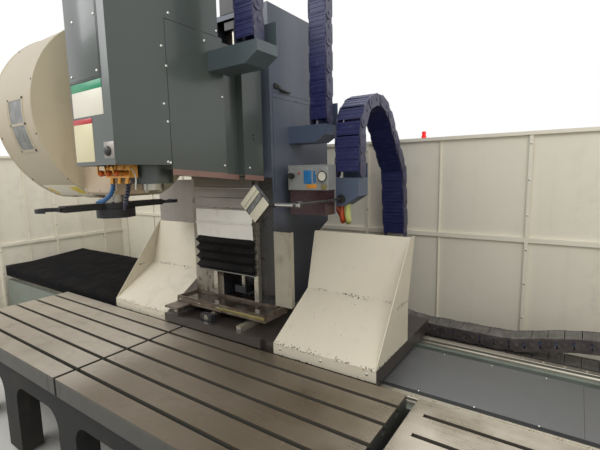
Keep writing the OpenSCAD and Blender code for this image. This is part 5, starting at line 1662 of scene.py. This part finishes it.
@dataclass
class BedTrim:
    """Small parts on the bed: the scale's strip by the back rail, and the seams and screws of the cover sheet."""

    scale: Block = ((-1.2, 0.585, 0.793), (3.88, 0.6, 0.812))
    seams: Row = (-0.6, 0.95, 2.5)
    sheet: Span = (-0.287, 0.312)
    sheet_top: float = 0.845
    screw_rows: Span = (-0.27, 0.295)
    screw_run: Trio = (-1.1, 3.85, 0.31)

    def build(self) -> None:
        """Builds the strip, the seams and the screws."""
        box(*self.scale, 0.002).piece("scale_strip", "rail_steel", "carriage_steel")
        lines = Surface()
        front, back = self.sheet
        for x in self.seams:
            lines.slab((x - 0.001, front, self.sheet_top - 0.0002), (x + 0.001, back, self.sheet_top + 0.0007), 0.0004)
        lines.piece("sheet_seams", "sheet_steel", "seam_dark")
        places = [(x, y, self.sheet_top) for x in np.arange(*self.screw_run) for y in self.screw_rows]
        screws(places, UP, 0.006).piece("sheet_screws", "spindle_steel", "screw_steel")


@dataclass
class TrayTrim:
    """The drip tray's lip, the step plate in front of it and its screws."""

    lip: Block = ((0.03, -0.285, 1.046), (0.522, -0.2805, 1.07))
    step: Block = ((-0.47, -0.424, 1.0365), (-0.31, -0.285, 1.0405))
    screw_xs: Row = (-0.44, -0.2, 0.02)

    def build(self) -> None:
        """Builds the lip, the step plate and three screws."""
        box(*self.lip, 0.0015).piece("tray_lip", "tray_brown", "lip_brass", "column")
        box(*self.step, 0.001).piece("tray_step", "tray_brown", "step_rust", "column")
        heads = screws([(x, -0.281, 1.058) for x in self.screw_xs], TO_FRONT, 0.007)
        heads.piece("tray_screws", "spindle_steel", "screw_steel", "column")


@dataclass
class ColumnTrim:
    """Seam and screws of the column's side cover, the dark clamp over it and two cables under the chain's bracket."""

    side: float = 0.45
    cover_front: float = -0.02
    cover_top: float = 2.763
    screw_ys: Row = (0.02, 0.3, 0.56)
    screw_zs: Row = (2.73, 2.4, 2.08)
    cables: tuple[tuple[str, float, float], ...] = (("cable_red", 0.872, 0.019), ("cable_green", 0.922, 0.024))
    cable_run: Line = (
        (0.0, 0.3, 1.9), (0.0, 0.3, 1.81), (0.0, 0.315, 1.768),
        (-0.03, 0.36, 1.752), (-0.1, 0.45, 1.8), (-0.25, 0.53, 1.92),
    )
    cable_end: Span = (0.56, 1.99)

    def build(self) -> None:
        """Builds the seam lines and small parts on the column's right side."""
        front, top = self.cover_front, self.cover_top
        seam = box(*dark_line(self.side, (front, top - 0.003), (0.58, top)), 0.0004)
        seam.slab(*dark_line(self.side, (front, 2.0), (front + 0.003, top)), 0.0004)
        seam.piece("column_seams", "casting_grey", "seam_dark", "column")
        clamp = box((self.side - 0.001, 0.0, 2.79), (self.side + 0.012, 0.09, 2.83), 0.004)
        clamp.slab((self.side, 0.07, 2.775), (self.side + 0.02, 0.2, 2.795), 0.005)
        clamp.piece("column_clamp", "motor_black", "trim_black", "column")
        heads = screws([(self.side, y, z) for y in self.screw_ys for z in self.screw_zs], TO_RIGHT, 0.008)
        heads.piece("column_screws", "casting_grey", "bracket_paint", "column")
        for number, (look, x, radius) in enumerate(self.cables):
            knots = [(x + shift, y, z) for shift, y, z in self.cable_run]
            knots.append((self.side - 0.002, *self.cable_end))
            cable = Surface().tube(smooth_path(knots, 8), radius, 14)
            cable.piece(f"column_cable_{number}", "motor_black", look, "column")


@dataclass
class HeadTrim:
    """Fittings on the head: its door, seams, screws, bare plates, the lower strip and the plate round the button.

    Places on the front are in X and Z, those on the side in Y and Z. A plate also has how far it stands out, and a
    part of the strip its two ends along Y and its place along X.
    """

    side: float = 0.43
    front: float = -1.315
    seam_y: float = -0.959
    top: float = 3.027
    door: Corners = ((0.052, 2.662), (0.357, 3.405))
    door_rim: Corners = ((0.046, 2.655), (0.363, 3.411))
    door_gap: Corners = ((0.046, 2.652), (0.3645, 3.413))
    side_screws: Outline = (
        (-0.989, 2.869), (-0.963, 2.766), (-0.993, 2.553), (-0.974, 2.455), (-0.99, 2.225), (-0.972, 2.22),
        (-0.53, 2.653), (-0.53, 2.205), (-0.665, 2.975), (-0.56, 3.06), (-0.93, 3.06), (-0.28, 2.19), (-0.3, 2.9),
    )
    front_screws: Outline = (
        (0.343, 2.963), (0.133, 2.965), (0.08, 2.69), (0.335, 2.69), (0.343, 3.36), (0.08, 3.36),
    )
    plates: tuple[tuple[str, Span, Span, float], ...] = (
        ("field_white", (0.055, 2.472), (0.357, 2.65), 0.0015),
        ("field_green", (0.055, 2.606), (0.357, 2.65), 0.0022),
        ("field_cream", (0.045, 2.23), (0.238, 2.462), 0.0015),
        ("field_red", (0.045, 2.434), (0.238, 2.462), 0.0022),
        ("wing_steel", (0.336, 2.243), (0.428, 2.329), 0.0015),
    )
    button: Span = (0.374, 2.281)
    strip: tuple[Trio, ...] = ((-0.959, -0.511, 0.43), (-0.511, -0.334, 0.37), (-0.334, -0.127, 0.43))
    strip_top: float = 2.186
    strip_fall: float = 0.0702
    strip_h: float = 0.036
    strip_t: float = 0.003

    def on_front(self, low: Span, high: Span, out: float) -> Block:
        """Corners of a plate on the front, between two corners in X and Z, that stands out by so much."""
        return (low[0], self.front - out, low[1]), (high[0], self.front + 0.001, high[1])

    def build(self) -> None:
        """Builds everything that the head carries on its front and its right side."""
        door = box(*self.on_front(*self.door, 0.005), 0.003)
        door.slab(*self.on_front(*self.door_rim, 0.002), 0.001)
        door.piece("head_door", "head_green", "head_paint", "head")
        gap = box(*self.on_front(*self.door_gap, 0.0008), 0.0004)
        gap.slab(*dark_line(self.side, (self.seam_y - 0.0018, 2.2), (self.seam_y + 0.0018, 3.026)), 0.0004)
        gap.slab(*dark_line(self.side, (self.seam_y, self.top - 0.002), (-0.548, self.top + 0.002)), 0.0004)
        gap.piece("head_gaps", "head_green", "seam_dark", "head")
        heads = screws([(self.side, y, z) for y, z in self.side_screws], TO_RIGHT, 0.0095)
        heads.merge(screws([(x, self.front - 0.005, z) for x, z in self.front_screws], TO_FRONT, 0.0075))
        heads.piece("head_screws", "spindle_steel", "screw_steel", "head")
        for number, (look, low, high, out) in enumerate(self.plates):
            box(*self.on_front(low, high, out), 0.0006).piece(f"head_plate_{number}", "head_green", look, "head")
        rim = screws([(self.button[0], self.front - 0.001, self.button[1])], TO_FRONT, 0.026, 24)
        rim.piece("button_rim", "spindle_steel", "trim_black", "head")
        strip = Surface()
        for y0, y1, x in self.strip:
            z0, z1 = (self.strip_top - self.strip_fall * (y - self.seam_y) for y in (y0, y1))
            ring = np.array([(x, y0, z0 - self.strip_h), (x, y1, z1 - self.strip_h), (x, y1, z1), (x, y0, z0)])
            rings = np.stack([ring, ring + np.array(TO_RIGHT) * self.strip_t])
            strip.merge(Surface().grid(rings, wrap_v=True).cap(rings[0]).cap(rings[1]))
        strip.piece("head_strip", "head_green", "strip_brown", "head")


@dataclass
class DrumTrim:
    """Fittings on the curved side of the magazine hood: the window, a bare plate, screws and rolled edges.

    Curved pieces are given by two places along X and two angles in degrees from +Y, going up first.
    """

    axis_y: float = -0.73
    axis_z: float = 2.584
    radius: float = 0.629
    pane: Corners = ((-0.676, -0.479), (174.5, 204.0))
    bars: tuple[tuple[Span, Span], ...] = (
        ((-0.685, -0.47), (173.5, 175.0)), ((-0.685, -0.47), (203.4, 205.0)), ((-0.685, -0.672), (173.5, 205.0)),
        ((-0.483, -0.47), (173.5, 205.0)), ((-0.685, -0.47), (188.0, 189.4)),
    )
    bar_out: float = 0.0035
    hem_xs: Span = (-0.906, -0.354)
    hem_angles: Span = (-66, 246)
    hem_r: float = 0.0045
    window_screws: tuple[Row, Row] = ((-0.678, -0.477), (174.3, 188.7, 204.2))
    edge_screws: tuple[Row, Row] = ((-0.89, -0.37), (15, 45, 75, 105, 135, 165, 195, 225))
    fields: tuple[tuple[str, Span, Span, float], ...] = (
        ("field_white", (-0.86, -0.38), (231.0, 245.0), 0.0012),
        ("field_yellow", (-0.5, -0.39), (232.5, 240.5), 0.0018),
        ("field_yellow", (-0.845, -0.8), (234.0, 242.0), 0.0018),
    )

    def rim(self, x: ArrayLike, angle: ArrayLike, radius: float) -> np.ndarray:
        """Points at places along the drum and angles: the axis plus the radius times their cosine and sine.

        Args:
            x: Places along the drum.
            angle: Angles in degrees.
            radius: Distance from the axis.

        Returns:
            An array of points.
        """
        a = np.radians(angle)
        y, z = self.axis_y + radius * np.cos(a), self.axis_z + radius * np.sin(a)
        return np.stack(np.broadcast_arrays(x, y, z), -1)

    def curved(self, x: Span, angle: Span, out: float, steps: int = 20) -> Surface:
        """A plate bent round the drum between two places along it and two angles.

        Args:
            x: Its two ends.
            angle: Its two angles.
            out: How far it stands out.
            steps: Points round it.

        Returns:
            The plate.
        """
        a = np.linspace(*angle, steps)
        low, high = self.radius - 0.001, self.radius + out
        rings = [self.rim(side, a, r) for side, r in ((x[0], low), (x[0], high), (x[1], high), (x[1], low))]
        rings = np.stack(rings, 1)
        return Surface().grid(rings, wrap_v=True).cap(rings[0]).cap(rings[-1])

    def screw(self, x: float, angle: float, out: float) -> Surface:
        """A screw head that faces straight out from the drum's axis, so far out from its side."""
        a = math.radians(angle)
        return screws([self.rim(x, angle, self.radius + out)], (0.0, math.cos(a), math.sin(a)), 0.006)

    def build(self) -> None:
        """Builds the window with its frame, the plate with its two fields, the screws and the rolled edges."""
        self.curved(*self.pane, 0.0012).piece("drum_window_pane", "drum_cream", "window_pane", "column")
        frame = Surface()
        for x, angle in self.bars:
            frame.merge(self.curved(x, angle, self.bar_out))
        for x in self.hem_xs:
            frame.tube(self.rim(x, np.linspace(*self.hem_angles, 97), self.radius), self.hem_r, 8)
        frame.piece("drum_frame", "drum_cream", "drum_paint", "column")
        bolts = Surface()
        xs, angles = self.window_screws
        for x in xs:
            for angle in angles:
                bolts.merge(self.screw(x, angle, self.bar_out))
        xs, angles = self.edge_screws
        for angle in angles:
            for x in xs:
                bolts.merge(self.screw(x, angle, 0.0))
        bolts.piece("drum_screws", "spindle_steel", "trim_black", "column")
        for number, (look, x, angle, out) in enumerate(self.fields):
            self.curved(x, angle, out).piece(f"drum_plate_{number}", "drum_cream", look, "column")


@dataclass
class ChangerTrim:
    """Cover plate of the cam box with its screws, and the cap screws of the change arm's hub."""

    cover: Block = ((-0.335, -1.088, 2.045), (0.022, -1.0825, 2.3))
    screw_xs: Row = (-0.315, -0.155, 0.004)
    screw_zs: Row = (2.062, 2.2, 2.283)
    hub: Point = (-0.235, -0.938, 1.97)
    hub_r: float = 0.085

    def build(self) -> None:
        """Builds the cover, its screws and six cap screws at even steps round the hub."""
        box(*self.cover, 0.003).piece("cam_cover", "cam_cream", "cam_paint", "column")
        places = [(x, self.cover[0][1], z) for x in self.screw_xs for z in self.screw_zs]
        screws(places, TO_FRONT, 0.0075).piece("cam_screws", "spindle_steel", "screw_steel", "column")
        a = np.arange(6) * np.pi / 3 + 0.3
        x, y, z = self.hub
        hub = np.stack([x + self.hub_r * np.cos(a), y + self.hub_r * np.sin(a), np.full(6, z)], -1)
        screws(hub, UP, 0.009).piece("arm_screws", "arm_black", "arm_black", "arm")


@dataclass
class Coolant:
    """Jointed coolant hoses of cup links with their jets, the taps with knobs, levers and nuts, and two thin lines.

    The taps are places along X, and what they have in common is in Y and Z.
    """

    pitch: float = 0.0165
    cup: Outline = (
        (0, -0.012), (0.0085, -0.012), (0.0135, -0.006), (0.0148, 0.001), (0.014, 0.006), (0.0095, 0.009), (0, 0.009),
    )
    jet: Outline = ((0, 0), (0.0135, 0), (0.0125, 0.012), (0.006, 0.034), (0.006, 0.046), (0, 0.046))
    left: Line = (
        (0.04, -1.108, 2.104), (0.036, -1.11, 2.07), (0.01, -1.118, 2.03),
        (-0.045, -1.126, 2.0), (-0.085, -1.128, 1.992),
    )
    right: Line = (
        (0.2, -1.108, 2.104), (0.2, -1.11, 2.07), (0.197, -1.12, 2.03), (0.192, -1.128, 1.992),
    )
    taps: Row = (0.04, 0.12, 0.2)
    knob: Outline = ((0, -0.004), (0.017, -0.004), (0.0195, 0.004), (0.0185, 0.016), (0.012, 0.022), (0, 0.023))
    knob_at: Span = (-1.171, 2.167)
    lever: Corners = ((-1.2, 2.16), (-1.19, 2.212))
    outlet: Span = (-1.108, 2.104)
    inlet: Span = (-1.13, 2.19)
    air_line: Line = (
        (0.2, -1.13, 2.2), (0.235, -1.125, 2.203), (0.272, -1.115, 2.18),
        (0.285, -1.11, 2.135), (0.27, -1.105, 2.09), (0.262, -1.1, 2.07),
    )
    coolant_line: Line = ((0.24, -1.1, 2.2), (0.25, -1.105, 2.15), (0.225, -1.11, 2.1), (0.2, -1.11, 2.105))

    def hose(self, knots: Line) -> Surface:
        """Strings cup links along a smooth path at even steps and ends it in a tapered jet.

        Args:
            knots: The path's knots.

        Returns:
            The hose.
        """
        path = smooth_path(knots, 24)
        run = np.concatenate([[0], np.cumsum(np.linalg.norm(np.diff(path, axis=0), axis=1))])
        at = np.linspace(0, run[-1], max(2, round(run[-1] / self.pitch)))
        places = np.stack([np.interp(at, run, path[:, k]) for k in range(3)], -1)
        way = np.gradient(places, axis=0)
        made = Surface()
        for place, along in zip(places, way, strict=True):
            made.turned(self.cup, place, along, 14)
        return made.turned(self.jet, places[-1], way[-1], 14)

    def build(self) -> None:
        """Builds the two hoses in place of the CAD balls, the taps and the two lines."""
        for name, look, knots in (("hose_left", "ball_blue", self.left), ("hose_right", "ball_dark", self.right)):
            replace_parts(self.hose(knots).piece(name, "hose_blue", look, "head"), "coolant_nozzles")
        knobs, levers, nuts = Surface(), Surface(), Surface()
        low, high = self.lever
        for x in self.taps:
            knobs.turned(self.knob, (x, *self.knob_at), TO_FRONT, 20)
            levers.slab((x - 0.005, *low), (x + 0.005, *high), 0.003)
            nuts.turned(disc(0.019, 0, 0.016), (x, *self.outlet), UP, 6)
            nuts.turned(disc(0.015, 0, 0.03), (x, *self.inlet), UP, 6)
        knobs.piece("tap_knobs", "valve_brass", "tap_orange", "head")
        levers.piece("tap_levers", "valve_brass", "brass", "head")
        nuts.piece("tap_nuts", "valve_brass", "brass", "head", 20.0)
        for name, look, knots, radius in (
            ("air_line", "hose_white", self.air_line, 0.0042),
            ("coolant_line", "ball_dark", self.coolant_line, 0.006),
        ):
            Surface().tube(smooth_path(knots, 8), radius, 8).piece(name, "hose_blue", look, "head")


@dataclass
class Lamp:
    """The square work lamp on its corner, with a black case, two cream lids and a dark strip, and its two arms.

    A washer on the post has its radius and its two places along Y.
    """

    centre: Point = (0.577, -0.392, 1.94)
    half: float = 0.095
    lids: Outline = ((-0.091, -0.052), (-0.049, -0.024), (0.02, 0.091))
    strip: Span = (-0.018, 0.014)
    socket: Outline = ((0.0125, 0.072), (0.0205, 0.072), (0.0205, 0.16), (0.0185, 0.168), (0.0125, 0.168))
    elbow_x: float = 0.91
    arm_xs: Span = (0.672, 0.936)
    arm_r: float = 0.0135
    post_y: float = 0.22
    post_r: float = 0.011
    washers: tuple[Trio, ...] = ((0.008, -0.416, -0.38), (0.024, -0.385, -0.335), (0.034, 0.209, 0.221))

    def build(self) -> None:
        """Builds the lamp in its own frame and turns it 45 degrees about Y, then builds the arms."""
        h = self.half
        x, y, z = self.centre
        made = box((-h, -0.019, -h), (h, 0.02, h), 0.006)
        for low, high in self.lids:
            made.slab((low, -0.0225, -h + 0.004), (high, -0.018, h - 0.004), 0.0015, 2, 1)
        made.slab((self.strip[0], -0.0195, -h + 0.012), (self.strip[1], -0.0185, h - 0.012), 0.0004, 1, 2)
        c = math.sqrt(0.5)
        case = Surface().repeat(made, np.array([[[c, 0, c], [0, 1, 0], [-c, 0, c]]]), np.array([self.centre]))
        case.turned(self.socket, self.centre, TO_RIGHT, 24)
        piece = case.piece("work_lamp_case", "lamp_cream", "trim_black lamp_cream window_pane", "lamp")
        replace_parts(piece, "work_lamp")
        arms = Surface().tube([(end, y, z) for end in self.arm_xs], self.arm_r, 20)
        arms.tube([(self.elbow_x, y, z), (self.elbow_x, self.post_y, z)], self.post_r, 16, 1)
        for radius, low, high in self.washers:
            arms.turned(disc(radius, low, high), (self.elbow_x, 0.0, z), (0.0, 1.0, 0.0), 24, 1)
        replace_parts(arms.piece("lamp_arms", "rod_chrome", "rod_chrome trim_black", "column"), "lamp_rod")


@dataclass
class Oiler:
    """Front of the lubricator: its lid, coloured fields, a red dot, a knob, a gauge and a tap, at places in X and Z."""

    front: float = 0.06
    lid: Corners = ((0.537, 2.014), (0.894, 2.188))
    lid_out: float = 0.014
    fields: tuple[tuple[str, Span, Span], ...] = (
        ("field_blue", (0.682, 2.062), (0.752, 2.164)),
        ("field_blue", (0.768, 2.07), (0.79, 2.16)),
        ("field_orange", (0.708, 2.03), (0.796, 2.058)),
    )
    dot: Span = (0.638, 2.143)
    round_y: float = 0.026
    knob: Span = (0.585, 2.124)
    knob_outline: Outline = ((0, 0), (0.024, 0), (0.025, 0.01), (0.022, 0.03), (0, 0.032))
    gauge: Span = (0.858, 2.118)
    gauge_outline: Outline = ((0, 0), (0.038, 0), (0.038, 0.006), (0.034, 0.008), (0.034, 0.004), (0, 0.004))
    tap: Span = (0.874, 2.04)
    tap_outline: Outline = ((0, 0), (0.012, 0), (0.012, 0.02), (0.02, 0.022), (0.02, 0.034), (0, 0.036))
    screw_xs: Span = (0.549, 0.882)
    screw_zs: Span = (2.026, 2.176)

    def build(self) -> None:
        """Builds the lid, the fields and the round parts, each turned about an axis that points to the front."""
        (x0, z0), (x1, z1) = self.lid
        lid = box((x0, self.front - self.lid_out, z0), (x1, self.front + 0.0005, z1), 0.006)
        lid.piece("oiler_lid", "oiler_silver", "oiler_paint", "column")
        for number, (look, low, high) in enumerate(self.fields):
            plate = box((low[0], self.front - 0.0158, low[1]), (high[0], self.front - 0.013, high[1]), 0.0006)
            plate.piece(f"oiler_field_{number}", "oiler_silver", look, "column")
        dot = screws([(self.dot[0], self.front - self.lid_out, self.dot[1])], TO_FRONT, 0.009)
        dot.piece("oiler_dot", "signal_red", "field_red", "column")
        knob_at, gauge_at = ((x, self.round_y, z) for x, z in (self.knob, self.gauge))
        knob = Surface().turned(self.knob_outline, knob_at, TO_FRONT, 24)
        knob.turned(self.gauge_outline, gauge_at, TO_FRONT, 32)
        knob.turned(disc(0.014, -0.022, 0.001), gauge_at, TO_FRONT, 16)
        knob.turned(disc(0.016, -0.022, 0.001), knob_at, TO_FRONT, 16)
        knob.piece("oiler_knob", "motor_black", "trim_black", "column")
        face = Surface().turned(disc(0.033, 0.0045, 0.0052), gauge_at, TO_FRONT, 32)
        face.piece("oiler_gauge", "oiler_silver", "field_white", "column")
        tap = Surface().turned(self.tap_outline, (self.tap[0], self.front - 0.013, self.tap[1]), TO_FRONT, 16)
        tap.piece("oiler_tap", "oiler_silver", "lip_brass", "column")
        places = [(x, self.front - 0.0135, z) for x in self.screw_xs for z in self.screw_zs]
        screws(places, TO_FRONT, 0.005).piece("oiler_screws", "spindle_steel", "screw_steel", "column")


PARTS: tuple[type, ...] = (
    DragChains, BedCover, HeadCover, HeadTrim, DrumTrim, ChangerTrim, Coolant, Lamp, Oiler,
    GuardTrim, RoomTrim, BedTrim, TrayTrim, ColumnTrim,
)


def main() -> None:
    """Loads the frame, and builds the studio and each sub-assembly in order."""
    logging.basicConfig(level=logging.INFO, format="%(name)s %(message)s")
    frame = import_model()
    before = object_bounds()
    Studio().build()
    dress(frame["nodes"])
    for part in PARTS:
        part().build()
    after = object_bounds()
    boxes = [[[float(x) for x in corner] for corner in pair] for pair in (before, after)]
    LOG.info("size before %s and after %s", *boxes)


if __name__ == "__main__":
    main()
